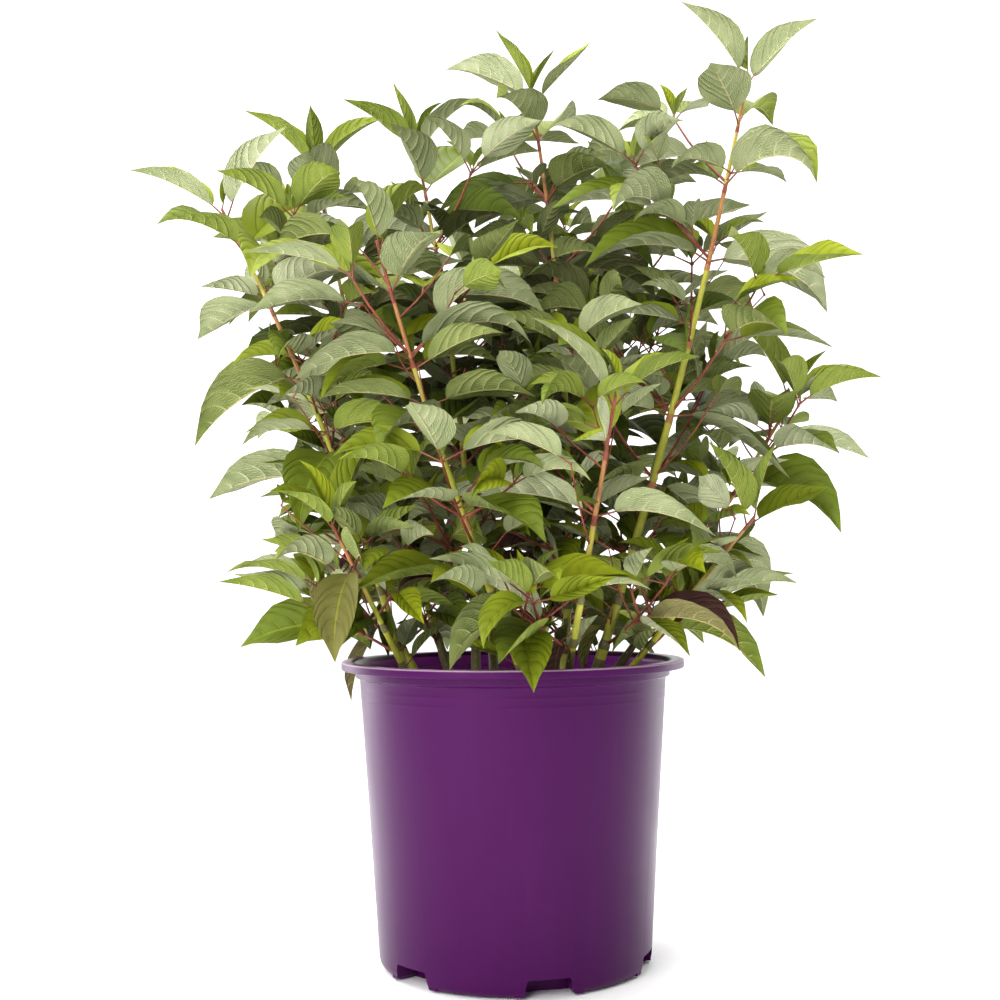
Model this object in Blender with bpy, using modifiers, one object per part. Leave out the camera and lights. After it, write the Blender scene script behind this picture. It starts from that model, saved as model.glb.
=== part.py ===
"""A young red twig dogwood in its nursery pot, in metres, +Z up.

The origin is the centre of the pot's flat underside, and the front is towards -Y.
Fourteen canes rise from the potting mix. Each cane is a bare bough that ends where it
enters its crown, the mass of twigs and leaves on its upper part, and up to three
sprays of leaves stand off its side lower down. Leaves sit in opposite pairs, and each
pair is turned against the pair below it.
"""
import math
import random
from collections import namedtuple

import bmesh
import bpy
from mathutils import Quaternion, Vector
from mathutils.bvhtree import BVHTree

GAP = 0.0003                # clearance between solids that touch on the real plant
UP = Vector((0.0, 0.0, 1.0))

# The pot, a thin moulded shell.
POT_HEIGHT = 0.240
POT_SIDES = 36
RIM_RADIUS = 0.138          # outer edge of the rolled lip
LIP_INNER = 0.1284          # inner edge of the lip's flat top
LIP_DROP = 0.0075           # height of the lip's skirt
LIP_ROUND = 0.0012
BAND_RADIUS = 0.1265        # plain band under the lip
BAND_HEIGHT = 0.0070
WALL = 0.0018
TOP_RADIUS = 0.1242         # tapering wall, carried up to the rim's height
BASE_RADIUS = 0.1082        # the same wall at the ground
FOOT_ROUND = 0.0080
FOOT_FLAT = 0.0995
FLOOR = 0.0030

# Six drainage notches at the foot, each with a raised pocket behind it.
NOTCHES = 6
NOTCH_TURN = 13.3           # degrees from the front towards +X, for the first notch
NOTCH_WIDTH = 0.037
NOTCH_TOP_WIDTH = 0.033
NOTCH_HEIGHT = 0.0140
NOTCH_INNER = 0.0865
POCKET_INNER = 0.0840
POCKET_HEIGHT = 0.0158
POCKET_SPREAD = 28.0        # degrees
POCKET_STEPS = 3

# The potting mix.
MIX_TOP = 0.222

# The canes: foot on the mix (x, y), tip (x, y, z), bow of the middle (x, y), radius at
# the foot, length of the leafy crown, turn of the top leaf pair in degrees from +X.
Cane = namedtuple("Cane", "foot tip bow radius crown turn")
CANES = {
    "a": Cane((-0.084, -0.012), (-0.230, -0.030, 0.604), (0.024, 0.000), 0.0034, 0.27, -8),
    "b": Cane((0.012, -0.062), (-0.096, -0.128, 0.553), (-0.010, -0.012), 0.0037, 0.20, 60),
    "c": Cane((-0.030, 0.014), (-0.077, 0.020, 0.668), (0.022, 0.000), 0.0035, 0.34, 5),
    "d": Cane((0.042, 0.004), (0.020, 0.000, 0.704), (0.028, 0.010), 0.0035, 0.37, 0),
    "e": Cane((0.062, -0.042), (0.190, -0.056, 0.698), (0.014, -0.016), 0.0040, 0.36, 0),
    "f": Cane((-0.052, 0.040), (-0.168, 0.064, 0.664), (-0.016, 0.010), 0.0034, 0.34, 20),
    "g": Cane((0.034, 0.046), (0.118, 0.122, 0.640), (0.012, 0.014), 0.0033, 0.31, 30),
    "h": Cane((-0.016, 0.058), (-0.040, 0.168, 0.598), (0.000, 0.016), 0.0033, 0.29, 75),
    "i": Cane((0.080, 0.014), (0.232, -0.006, 0.452), (0.006, 0.000), 0.0032, 0.19, 20),
    "j": Cane((-0.078, 0.030), (-0.200, 0.112, 0.468), (-0.008, 0.008), 0.0031, 0.19, 60),
    "k": Cane((0.012, 0.080), (0.052, 0.204, 0.452), (0.004, 0.012), 0.0031, 0.18, 15),
    "l": Cane((0.040, -0.078), (0.074, -0.172, 0.432), (0.000, -0.010), 0.0031, 0.16, 20),
    "m": Cane((0.084, -0.028), (0.184, -0.082, 0.350), (0.000, 0.000), 0.0029, 0.10, 10),
    "n": Cane((-0.078, -0.042), (-0.132, -0.104, 0.346), (0.000, 0.000), 0.0029, 0.10, 40),
}
CANE_TIP_RADIUS = 0.0011
CANE_SIDES = 6
CANE_SEED = 100
FOOT_SWELL = 0.0010         # added to a cane's radius where it leaves the mix
FOOT_SWELL_SHARE = 1.0 / 12.0
BOUGH_RINGS = 7
RING_CROWDING = 1.4         # above 1 the rings stand closer near the foot
CROWN_RINGS = 8
CROWN_STEM_SHARE = 1.15     # radius of the stem inside a crown over the cane's own

# Distance between one leaf pair and the next, from a cane's tip downwards.
PAIR_STEPS = (0.010, 0.030, 0.050, 0.062, 0.064, 0.060, 0.054, 0.048, 0.042, 0.038, 0.036)
PAIR_TURN = 66.0            # degrees from one pair to the next below it
CROWN_BARE = 0.012          # no leaf pair on the lowest part of a crown
# By the pair's rank below the tip: blade length, and the slope in degrees that the
# blade has at its foot and at its tip.
CROWN_LEAVES = (
    (0.070, 56, 26),
    (0.084, 42, 0),
    (0.092, 30, -32),
    (0.096, 22, -46),
    (0.092, 14, -54),
    (0.086, 8, -58),
    (0.078, 0, -62),
)
SHOOT_LEAVES = (
    (0.066, 36, -6),
    (0.082, 20, -34),
    (0.086, 8, -52),
    (0.080, 0, -60),
)
LEAF_ASPECT = 0.58          # width over length of a blade
LEAF_WIDEST = 0.42          # place of the widest part along the blade
LEAF_THICKNESS = 0.0170     # of the blade's length
LEAF_STEPS = 8
LEAF_SUNK = 0.0007          # a leaf's foot lies this far behind the middle of its twig
LEAF_SEED = 1000
LEAF_TRIES = 9
LOOSER = 0.35               # added to the sway with every try
SMALLER = 0.03              # taken off the leaf with every try
LEAN_SHARE = 0.7            # part of its twig's lean that a leaf's slope takes over
LEAF_CLEAR = 0.0006         # room kept round a leaf while it looks for a place
BLADE_FROM = 0.25           # nearer to its foot a leaf may touch its own mass
PETIOLE = (0.011, 0.018)
BLADE_SHARE = (0.86, 1.08)
HEADING_SWAY = 9.0          # the usual difference from the table, in degrees
RISE_SWAY = 8.0
FALL_SWAY = 11.0
ROLL_SWAY = 14.0

TWIG_SIDES = 3
TWIG_RADIUS = 0.0017
TWIG_TIP_RADIUS = 0.0014
TWIG_STEPS = 3
TWIG_SWINGS = 6
TWIG_SWAY = 7.0
TWIG_PUSHES = 24            # tries to seat a spray's stem against its bough
PUSH = 0.00015
AXIL = 0.0030               # a side shoot leaves its stem this far above the leaf
STEM_INSIDE = 0.008         # a fork's first stretch, which may lie inside its stem

# Side shoots of a crown, and the leaf pairs along every shoot.
SHOOT_FROM_RANK = 2         # the topmost pairs carry no side shoots
SHOOTLESS = 0.45            # share of the other leaves that have none either
SHOOT_REACH = (0.045, 0.062)
SHOOT_REACH_STEP = 0.012    # longer by this with every pair down the cane
SHOOT_SLOPES = (42, 58)
SHOOT_TIP = 0.003
SHOOT_BARE = 0.022
SHOOT_PAIR_STEP = 0.040
SHOOT_PAIR_GROWTH = 0.008
SHOOT_PAIR_TURN = 35.0

# Sprays that stand off the bare boughs.
SPRAY_START = 0.034         # height of the lowest spray above the mix
SPRAY_END = 0.012           # none nearer to the bough's upper end
SPRAYS = 3                  # at most, on one bough
SPRAY_TURN = (45.0, 100.0)
SPRAY_OFF = 0.7             # of the bough's radius
SPRAY_REACH = (0.055, 0.080)
SPRAY_REACH_SLOPE = 0.36
SPRAY_RISE = (14.0, 30.0)
SPRAY_LIFT = 18.0
SPRAY_STEP = (0.040, 0.055)
FORK_PLACE = (0.35, 0.50)
FORK_TURN = (40.0, 60.0)
FORK_SLOPES = (20, 36)
FORK_SHARE = 0.5
SLIVER = 0.000001           # edges shorter than this close up after a union

Twig = namedtuple("Twig", "mass points radii")
Seat = namedtuple("Seat", "mass place axis heading table rank")
Leaf = namedtuple("Leaf", "mass foot heading rise fall roll petiole blade")


def clear_scene():
    for obj in list(bpy.data.objects):
        bpy.data.objects.remove(obj, do_unlink=True)


def new_collection(name):
    collection = bpy.data.collections.new(name)
    bpy.context.scene.collection.children.link(collection)
    return collection


def material(name, colour, roughness):
    made = bpy.data.materials.new(name)
    made.use_nodes = True
    shader = made.node_tree.nodes["Principled BSDF"]
    shader.inputs["Base Color"].default_value = (*colour, 1.0)
    shader.inputs["Roughness"].default_value = roughness
    made.diffuse_color = (*colour, 1.0)
    return made


def add_object(name, mesh, collection, surface=None):
    obj = bpy.data.objects.new(name, mesh)
    collection.objects.link(obj)
    if surface:
        mesh.materials.clear()
        mesh.materials.append(surface)
    return obj


def mesh_from(bm, name):
    bmesh.ops.recalc_face_normals(bm, faces=bm.faces)
    mesh = bpy.data.meshes.new(name)
    bm.to_mesh(mesh)
    bm.free()
    return mesh


def evaluated_mesh(obj):
    """The object's shape with its modifiers, as a mesh of its own."""
    graph = bpy.context.evaluated_depsgraph_get()
    return bpy.data.meshes.new_from_object(obj.evaluated_get(graph), depsgraph=graph)


def apply_boolean(obj, operation, other, solver="EXACT"):
    """Cut or join other, which is an object or a collection, with obj for good."""
    boolean = obj.modifiers.new(operation, "BOOLEAN")
    boolean.operation = operation
    boolean.solver = solver
    if isinstance(other, bpy.types.Collection):
        boolean.operand_type = "COLLECTION"
        boolean.collection = other
    else:
        boolean.object = other
    result = evaluated_mesh(obj)
    obj.modifiers.clear()
    obj.data = result


def remove_objects(objects):
    for obj in list(objects):
        bpy.data.objects.remove(obj, do_unlink=True)


def wall_radius(height):
    return BASE_RADIUS + (TOP_RADIUS - BASE_RADIUS) * height / POT_HEIGHT


def pot_profile():
    """Radius and height down the outside, across the underside and up the inside."""
    lip_low = POT_HEIGHT - LIP_DROP
    band_low = lip_low - BAND_HEIGHT
    lip_under = POT_HEIGHT - WALL
    flare = LIP_INNER - (BAND_RADIUS - WALL)
    foot_mid = 0.3 * FOOT_ROUND
    foot_wall = wall_radius(FOOT_ROUND)
    return [
        (LIP_INNER, POT_HEIGHT),
        (RIM_RADIUS - LIP_ROUND, POT_HEIGHT),
        (RIM_RADIUS, POT_HEIGHT - LIP_ROUND),
        (RIM_RADIUS, lip_low),
        (RIM_RADIUS - WALL, lip_low),
        (RIM_RADIUS - WALL, lip_under),
        (LIP_INNER + 0.5 * WALL, lip_under),
        (BAND_RADIUS, lip_under - flare),
        (BAND_RADIUS, band_low),
        (wall_radius(band_low), band_low),
        (foot_wall, FOOT_ROUND),
        (0.7 * foot_wall + 0.3 * FOOT_FLAT, foot_mid),
        (FOOT_FLAT, 0.0),
        (0.0, 0.0),
        (0.0, FLOOR),
        (FOOT_FLAT, FLOOR),
        (foot_wall - WALL, FOOT_ROUND),
        (wall_radius(band_low) - WALL, band_low),
        (BAND_RADIUS - WALL, band_low + WALL),
        (BAND_RADIUS - WALL, POT_HEIGHT - 1.3 * flare),
        (LIP_INNER, POT_HEIGHT),
    ]


def turned_shell(name, profile, collection):
    """Turn the profile once round the Z axis."""
    bm = bmesh.new()
    verts = [bm.verts.new((radius, 0.0, height)) for radius, height in profile[:-1]]
    for index, vert in enumerate(verts):
        following = verts[(index + 1) % len(verts)]
        if vert.co.x > 0.0 or following.co.x > 0.0:
            bm.edges.new((vert, following))
    mesh = bpy.data.meshes.new(name)
    bm.to_mesh(mesh)
    bm.free()
    obj = add_object(name, mesh, collection)
    screw = obj.modifiers.new("turn", "SCREW")
    screw.steps = POT_SIDES
    screw.render_steps = POT_SIDES
    screw.use_merge_vertices = True
    screw.merge_threshold = 0.00001
    screw.use_smooth_shade = True
    obj.data = evaluated_mesh(obj)
    obj.modifiers.clear()
    return obj


def notch_angle(index):
    return math.radians(NOTCH_TURN - 90.0 + index * 360.0 / NOTCHES)


def pocket_block(index, grow, collection):
    """The raised pocket behind one notch, a sector of a ring, larger all round by grow."""
    inner = POCKET_INNER - grow
    outer = wall_radius(FOOT_ROUND) - 0.5 * WALL + 2.0 * grow
    top = POCKET_HEIGHT + grow
    low = 0.5 * FLOOR
    spread = math.radians(POCKET_SPREAD) + 2.0 * grow / inner
    start = notch_angle(index) - spread / 2.0
    corners = [(inner, low), (outer, low), (outer, top), (inner, top)]
    bm = bmesh.new()
    verts = []
    for radius, height in corners:
        verts.append(bm.verts.new((radius * math.cos(start), radius * math.sin(start), height)))
    face = bm.faces.new(verts)
    geometry = [face] + list(face.edges) + list(face.verts)
    bmesh.ops.spin(bm, geom=geometry, axis=UP, angle=spread, steps=POCKET_STEPS)
    return add_object("pocket", mesh_from(bm, "pocket"), collection)


def notch_cutter(index, collection):
    """A block through the wall at the foot, slightly narrower at its top."""
    depth = RIM_RADIUS - NOTCH_INNER
    bm = bmesh.new()
    bmesh.ops.create_cube(bm, size=1.0)
    turn = Quaternion(UP, notch_angle(index))
    for vert in bm.verts:
        width = NOTCH_TOP_WIDTH if vert.co.z > 0.0 else NOTCH_WIDTH
        height = NOTCH_HEIGHT if vert.co.z > 0.0 else -FLOOR
        reach = NOTCH_INNER + depth * (vert.co.x + 0.5)
        vert.co = turn @ Vector((reach, vert.co.y * width, height))
    return add_object("notch", mesh_from(bm, "notch"), collection)


def build_pot(parts, cutters):
    pot = turned_shell("pot", pot_profile(), parts)
    for index in range(NOTCHES):
        apply_boolean(pot, "UNION", pocket_block(index, 0.0, cutters))
    for index in range(NOTCHES):
        apply_boolean(pot, "DIFFERENCE", notch_cutter(index, cutters))
    remove_objects(cutters.objects)
    pot.data.materials.clear()
    pot.data.materials.append(material("pot plastic", (0.113, 0.024, 0.130), 0.38))
    pot.data.set_sharp_from_angle(angle=math.radians(30.0))
    return pot


def build_mix(parts, cutters):
    """The potting mix, which fills the pot round its pockets to below the lip."""
    low = FOOT_ROUND
    bottom = FLOOR + GAP
    inset = WALL + GAP
    slope = (wall_radius(MIX_TOP) - wall_radius(low)) / (MIX_TOP - low)
    bm = bmesh.new()
    bmesh.ops.create_cone(
        bm,
        cap_ends=True,
        segments=POT_SIDES,
        radius1=FOOT_FLAT - GAP,
        radius2=wall_radius(MIX_TOP) - inset,
        depth=MIX_TOP - bottom,
    )
    for vert in bm.verts:
        vert.co.z += (MIX_TOP + bottom) / 2.0
    middle = wall_radius(low) - inset + slope * GAP
    cut = bmesh.ops.bisect_plane(
        bm,
        geom=bm.verts[:] + bm.edges[:] + bm.faces[:],
        plane_co=(0.0, 0.0, low + GAP),
        plane_no=UP,
    )
    for item in cut["geom_cut"]:
        if isinstance(item, bmesh.types.BMVert):
            flat = item.co.to_2d().normalized() * (middle - GAP)
            item.co.x, item.co.y = flat
    mix = add_object("potting_mix", mesh_from(bm, "potting_mix"), parts)
    for index in range(NOTCHES):
        apply_boolean(mix, "DIFFERENCE", pocket_block(index, GAP, cutters))
    remove_objects(cutters.objects)
    mix.data.materials.clear()
    mix.data.materials.append(material("potting mix", (0.030, 0.019, 0.013), 0.95))
    return mix


def cane_line(cane, count=60):
    """Points up the cane, from its foot on the mix to its tip."""
    foot = Vector((*cane.foot, MIX_TOP + GAP))
    tip = Vector(cane.tip)
    middle = (foot + tip) / 2.0 + Vector((*cane.bow, 0.0))
    points = []
    for index in range(count + 1):
        t = index / count
        points.append(foot * (1 - t) ** 2 + middle * 2 * t * (1 - t) + tip * t * t)
    return points


def line_length(points):
    return sum((b - a).length for a, b in zip(points, points[1:]))


def point_along(points, distance):
    """The point and the direction at a distance from the line's first point."""
    left = distance
    for start, end in zip(points, points[1:]):
        step = (end - start).length
        if left <= step:
            return start + (end - start) * (left / step), (end - start).normalized()
        left -= step
    direction = (points[-1] - points[-2]).normalized()
    return points[-1].copy(), direction


def cane_radius(cane, share):
    """Radius at a share of the cane's length, with a slight swelling at its foot."""
    taper = cane.radius + (CANE_TIP_RADIUS - cane.radius) * share
    return taper + FOOT_SWELL * max(0.0, 1.0 - share / FOOT_SWELL_SHARE)


def tube_mesh(points, radii, sides, name):
    """A tapering tube with closed ends along the points."""
    ring = bpy.data.curves.new("ring", "CURVE")
    ring.dimensions = "2D"
    outline = ring.splines.new("POLY")
    outline.points.add(sides - 1)
    outline.use_cyclic_u = True
    for index, point in enumerate(outline.points):
        turn = 2.0 * math.pi * index / sides
        point.co = (math.cos(turn), math.sin(turn), 0.0, 1.0)
    ring_object = bpy.data.objects.new("ring", ring)
    curve = bpy.data.curves.new(name, "CURVE")
    curve.dimensions = "3D"
    curve.bevel_mode = "OBJECT"
    curve.bevel_object = ring_object
    curve.use_fill_caps = True
    spline = curve.splines.new("POLY")
    spline.points.add(len(points) - 1)
    for item, point, radius in zip(spline.points, points, radii):
        item.co = (*point, 1.0)
        item.radius = radius
    obj = bpy.data.objects.new(name, curve)
    bpy.context.scene.collection.objects.link(obj)
    bpy.context.scene.collection.objects.link(ring_object)
    mesh = evaluated_mesh(obj)
    remove_objects([obj, ring_object])
    bm = bmesh.new()
    bm.from_mesh(mesh)
    bmesh.ops.remove_doubles(bm, verts=bm.verts, dist=0.00001)
    return mesh_from(bm, name)


def build_bough(name, cane, parts, surface):
    """The bare lower part of a cane, cut flat where it meets the mix."""
    line = cane_line(cane)
    length = line_length(line)
    bare = length - cane.crown
    points = []
    radii = []
    for index in range(BOUGH_RINGS):
        share = index / (BOUGH_RINGS - 1)
        distance = bare * share ** RING_CROWDING
        points.append(point_along(line, distance)[0])
        radii.append(cane_radius(cane, distance / length))
    mesh = tube_mesh(points, radii, CANE_SIDES, "cane_" + name)
    lowest = sorted(mesh.vertices, key=lambda vert: vert.co.z)[:CANE_SIDES]
    for vert in lowest:
        vert.co.z = MIX_TOP + GAP
    mesh.shade_smooth()
    mesh.set_sharp_from_angle(angle=math.radians(50.0))
    return add_object("cane_" + name, mesh, parts, surface)


def shell_tree(points, radii, sides, room):
    """A search tree for a tube, wider by room."""
    verts = []
    faces = []
    for index, (point, radius) in enumerate(zip(points, radii)):
        ahead = points[min(index + 1, len(points) - 1)]
        behind = points[max(index - 1, 0)]
        across = (ahead - behind).orthogonal().normalized()
        turn = Quaternion(ahead - behind, 2.0 * math.pi / sides)
        for _ in range(sides):
            verts.append(point + across * (radius + room))
            across = turn @ across
    for ring in range(len(points) - 1):
        for side in range(sides):
            low = ring * sides + side
            low_next = ring * sides + (side + 1) % sides
            faces.append((low, low_next, low_next + sides, low + sides))
    return BVHTree.FromPolygons(verts, faces)


def leaf_template():
    """A three-sided ball with one ring: the foot, the widest part and the tip."""
    bm = bmesh.new()
    bmesh.ops.create_uvsphere(bm, u_segments=3, v_segments=2, radius=1.0)
    bmesh.ops.triangulate(bm, faces=bm.faces)
    bm.verts.index_update()
    verts = [vert.co.copy() for vert in bm.verts]
    faces = [tuple(vert.index for vert in face.verts) for face in bm.faces]
    bm.free()
    return verts, faces


def leaf_frame(leaf, distance):
    """Place, side and normal of the leaf's midrib at a distance from its foot."""
    point = leaf.foot.copy()
    total = leaf.petiole + leaf.blade
    for index in range(LEAF_STEPS):
        along = distance * (index + 0.5) / LEAF_STEPS
        point += leaf_slope(leaf, along) * (distance / LEAF_STEPS)
    tangent = leaf_slope(leaf, min(distance, total))
    side = UP.cross(leaf.heading).normalized()
    side.rotate(Quaternion(tangent, leaf.roll))
    return point, side, tangent.cross(side).normalized()


def leaf_slope(leaf, distance):
    """Direction of the midrib: straight along the stalk, then bending down the blade."""
    share = min(1.0, max(0.0, (distance - leaf.petiole) / leaf.blade))
    slope = leaf.rise + (leaf.fall - leaf.rise) * share
    return leaf.heading * math.cos(slope) + UP * math.sin(slope)


def leaf_points(leaf, template, room=0.0, from_share=0.0):
    """The template's points moved to the leaf's foot, widest part and tip.

    The ring has one point under the midrib and one on each edge of the leaf.
    """
    widest = leaf.petiole + LEAF_WIDEST * leaf.blade
    half_width = LEAF_ASPECT * leaf.blade / 2.0 + room
    foot = leaf_frame(leaf, from_share * widest)
    middle, side, normal = leaf_frame(leaf, widest)
    tip = leaf_frame(leaf, leaf.petiole + leaf.blade + room)
    moved = []
    for co in template:
        if co.z > 0.5:
            moved.append(tip[0])
        elif co.z < -0.5:
            moved.append(foot[0])
        elif co.x > 0.5:
            moved.append(middle - normal * (LEAF_THICKNESS * leaf.blade + room))
        else:
            across = math.copysign(half_width, co.y)
            moved.append(middle + side * across + normal * room)
    return moved


class Places:
    """Everything placed so far, to find room for the next twig or leaf."""

    def __init__(self):
        self.solids = []

    def add(self, mass, kind, points, tree):
        middle = sum(points, Vector()) / len(points)
        radius = max((point - middle).length for point in points)
        self.solids.append((mass, kind, middle, radius, tree))

    def add_mesh(self, obj):
        points = [vert.co.copy() for vert in obj.data.vertices]
        faces = [tuple(face.vertices) for face in obj.data.polygons]
        self.add(obj.name, "solid", points, BVHTree.FromPolygons(points, faces))

    def meets(self, points, tree, wanted):
        """Whether the shape touches a solid for which wanted(mass, kind) holds."""
        middle = sum(points, Vector()) / len(points)
        radius = max((point - middle).length for point in points)
        for mass, kind, centre, reach, other in self.solids:
            if (middle - centre).length > radius + reach or not wanted(mass, kind):
                continue
            if other.overlap(tree):
                return True
        return False


def turned(heading, degrees):
    return Quaternion(UP, math.radians(degrees)) @ heading


def seat_leaf(seat):
    """Blade length and the two slopes, in degrees, of the leaf that a seat carries."""
    size, rise, fall = seat.table[min(seat.rank, len(seat.table) - 1)]
    lean = LEAN_SHARE * math.degrees(math.asin(seat.axis.dot(seat.heading)))
    return size, rise - lean, fall - lean


def try_leaf(places, seat, rng, template):
    """A leaf in the first posture that touches nothing, or None where there is no room."""
    verts, faces = template
    size, rise, fall = seat_leaf(seat)
    for attempt in range(LEAF_TRIES):
        loose = 1.0 + LOOSER * attempt
        shrink = 1.0 - SMALLER * attempt
        sunk = seat.heading * LEAF_SUNK - UP * rng.uniform(-0.5, 0.5) * LEAF_SUNK
        leaf = Leaf(
            mass=seat.mass,
            foot=seat.place - sunk,
            heading=turned(seat.heading, rng.gauss(0.0, HEADING_SWAY) * loose),
            rise=math.radians(rise + rng.gauss(0.0, RISE_SWAY) * loose),
            fall=math.radians(fall + rng.gauss(0.0, FALL_SWAY) * loose),
            roll=math.radians(rng.gauss(0.0, ROLL_SWAY) * loose),
            petiole=rng.uniform(*PETIOLE) * shrink,
            blade=size * rng.uniform(*BLADE_SHARE) * shrink,
        )
        if has_room(places, leaf, verts, faces):
            points = leaf_points(leaf, verts)
            places.add(leaf.mass, "leaf", points, BVHTree.FromPolygons(points, faces))
            return leaf
    return None


def has_room(places, leaf, verts, faces):
    whole = leaf_points(leaf, verts, room=LEAF_CLEAR)
    tree = BVHTree.FromPolygons(whole, faces)
    if places.meets(whole, tree, lambda mass, kind: mass != leaf.mass):
        return False
    blade = leaf_points(leaf, verts, room=LEAF_CLEAR, from_share=BLADE_FROM)
    tree = BVHTree.FromPolygons(blade, faces)
    return not places.meets(blade, tree, lambda mass, kind: mass == leaf.mass)


def shoot_points(start, heading, rise, fall, length):
    """A side shoot that leaves at one slope and bends evenly to another."""
    points = [start.copy()]
    step = length / TWIG_STEPS
    for index in range(TWIG_STEPS):
        slope = math.radians(rise + (fall - rise) * (index + 0.5) / TWIG_STEPS)
        direction = heading * math.cos(slope) + UP * math.sin(slope)
        points.append(points[-1] + direction * step)
    return points


def try_twig(places, mass, start, heading, slopes, length, rng, skip=0.0):
    """A side shoot clear of every other mass's wood, as near to its start as fits, or None.

    The first stretch, skip long, lies inside the mass's own stem and isn't tested.
    """
    radii = [
        TWIG_RADIUS + (TWIG_TIP_RADIUS - TWIG_RADIUS) * index / TWIG_STEPS
        for index in range(TWIG_STEPS + 1)
    ]
    for attempt in range(TWIG_SWINGS):
        course = turned(heading, rng.gauss(0.0, TWIG_SWAY) * (1.0 + attempt))
        for push in range(TWIG_PUSHES):
            foot = start if skip else start + course * push * PUSH
            points = shoot_points(foot, course, *slopes, length)
            first = point_along(points, skip)[0]
            tree = shell_tree([first] + points[1:], radii, TWIG_SIDES * 2, GAP)
            if places.meets(points, tree, lambda other, kind: other != mass):
                continue
            places.add(mass, "twig", points, shell_tree(points, radii, TWIG_SIDES * 2, 0.0))
            return Twig(mass, points, radii)
    return None


def pair_distances(length):
    """Distances of the leaf pairs from a cane's tip, down to a length."""
    found = []
    distance = 0.0
    for step in PAIR_STEPS:
        distance += step
        if distance < length:
            found.append(distance)
    return found


def crown_stem(name, cane, places):
    """The cane's own wood inside its crown, a hair beyond the bough's end."""
    line = cane_line(cane)
    length = line_length(line)
    bare = length - cane.crown + GAP * 2.0
    points = []
    radii = []
    for index in range(CROWN_RINGS):
        distance = bare + (length - bare) * index / (CROWN_RINGS - 1)
        points.append(point_along(line, distance)[0])
        radii.append(cane_radius(cane, distance / length) * CROWN_STEM_SHARE)
    stem = Twig("crown_" + name, points, radii)
    places.add(stem.mass, "twig", points, shell_tree(points, radii, CANE_SIDES, 0.0))
    return stem


def grow_crown_twigs(name, cane, places, rng):
    """The stem of a crown and its side shoots, and where their leaf pairs sit."""
    stem = crown_stem(name, cane, places)
    twigs = [stem]
    seats = []
    length = line_length(stem.points)
    for rank, down in enumerate(pair_distances(cane.crown - CROWN_BARE)):
        place, direction = point_along(stem.points, length - down)
        spread = turned(Vector((1.0, 0.0, 0.0)), cane.turn + PAIR_TURN * rank)
        for side in (1.0, -1.0):
            seats.append(Seat(stem.mass, place, direction, spread * side, CROWN_LEAVES, rank))
            if rank < SHOOT_FROM_RANK or rng.random() < SHOOTLESS:
                continue
            reach = rng.uniform(*SHOOT_REACH) + SHOOT_REACH_STEP * rank
            axil = place + direction * AXIL
            course = spread * side
            twig = try_twig(places, stem.mass, axil, course, SHOOT_SLOPES, reach, rng, STEM_INSIDE)
            if twig:
                twigs.append(twig)
                seats += shoot_seats(twig, spread * side)
    return twigs, seats


def shoot_seats(twig, heading):
    """Leaf pairs along a side shoot, each turned a quarter against the last."""
    length = line_length(twig.points)
    seats = []
    rank = 0
    down = SHOOT_TIP
    while length - down > SHOOT_BARE:
        place, _ = point_along(twig.points, length - down)
        level = heading.cross(UP) if rank % 2 == 0 else heading
        for side in (1.0, -1.0):
            lean = level * side if rank % 2 == 0 else turned(heading, SHOOT_PAIR_TURN * side)
            seats.append(Seat(twig.mass, place, UP, lean.normalized(), SHOOT_LEAVES, rank))
        rank += 1
        down += SHOOT_PAIR_STEP + SHOOT_PAIR_GROWTH * rank
    end, _ = point_along(twig.points, length - TWIG_TIP_RADIUS)
    seats.append(Seat(twig.mass, end, UP, heading, SHOOT_LEAVES, 0))
    return seats


def grow_spray_twigs(name, cane, places, rng):
    """Up to three sprays that stand off the bare bough, low to high."""
    line = cane_line(cane)
    bare = line_length(line) - cane.crown
    outward = Vector((cane.tip[0] - cane.foot[0], cane.tip[1] - cane.foot[1], 0.0)).normalized()
    twigs = []
    seats = []
    count = 0
    turn = rng.choice((-1.0, 1.0))
    height = SPRAY_START
    while height < bare - SPRAY_END and count < SPRAYS:
        place, _ = point_along(line, height)
        mass = "spray_" + name + str(count + 1)
        heading = turned(outward, turn * rng.uniform(*SPRAY_TURN))
        off = SPRAY_OFF * cane_radius(cane, height / line_length(line))
        reach = rng.uniform(*SPRAY_REACH) + SPRAY_REACH_SLOPE * height
        rise = rng.uniform(*SPRAY_RISE)
        start = place + heading * off
        twig = try_twig(places, mass, start, heading, (rise, rise + SPRAY_LIFT), reach, rng)
        turn = -turn
        height += rng.uniform(*SPRAY_STEP)
        if twig is None:
            continue
        count += 1
        twigs.append(twig)
        seats += shoot_seats(twig, heading)
        for side in (1.0, -1.0):
            fork = point_along(twig.points, reach * rng.uniform(*FORK_PLACE))[0]
            across = turned(heading, side * rng.uniform(*FORK_TURN))
            small = try_twig(
                places, mass, fork, across, FORK_SLOPES, reach * FORK_SHARE, rng, STEM_INSIDE
            )
            if small:
                twigs.append(small)
                seats += shoot_seats(small, across)
    return twigs, seats


def grow_plant(places):
    """All twigs first, then the leaves, each where it finds room."""
    twigs = []
    seats = []
    template = leaf_template()
    for number, (name, cane) in enumerate(CANES.items()):
        rng = random.Random(CANE_SEED + number)
        for grow in (grow_crown_twigs, grow_spray_twigs):
            more_twigs, more_seats = grow(name, cane, places, rng)
            twigs += more_twigs
            seats += more_seats
    order = sorted(range(len(seats)), key=lambda number: -seat_leaf(seats[number])[0])
    leaves = []
    for number in order:
        leaf = try_leaf(places, seats[number], random.Random(LEAF_SEED + number), template)
        if leaf:
            leaves.append(leaf)
    return twigs, leaves


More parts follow.
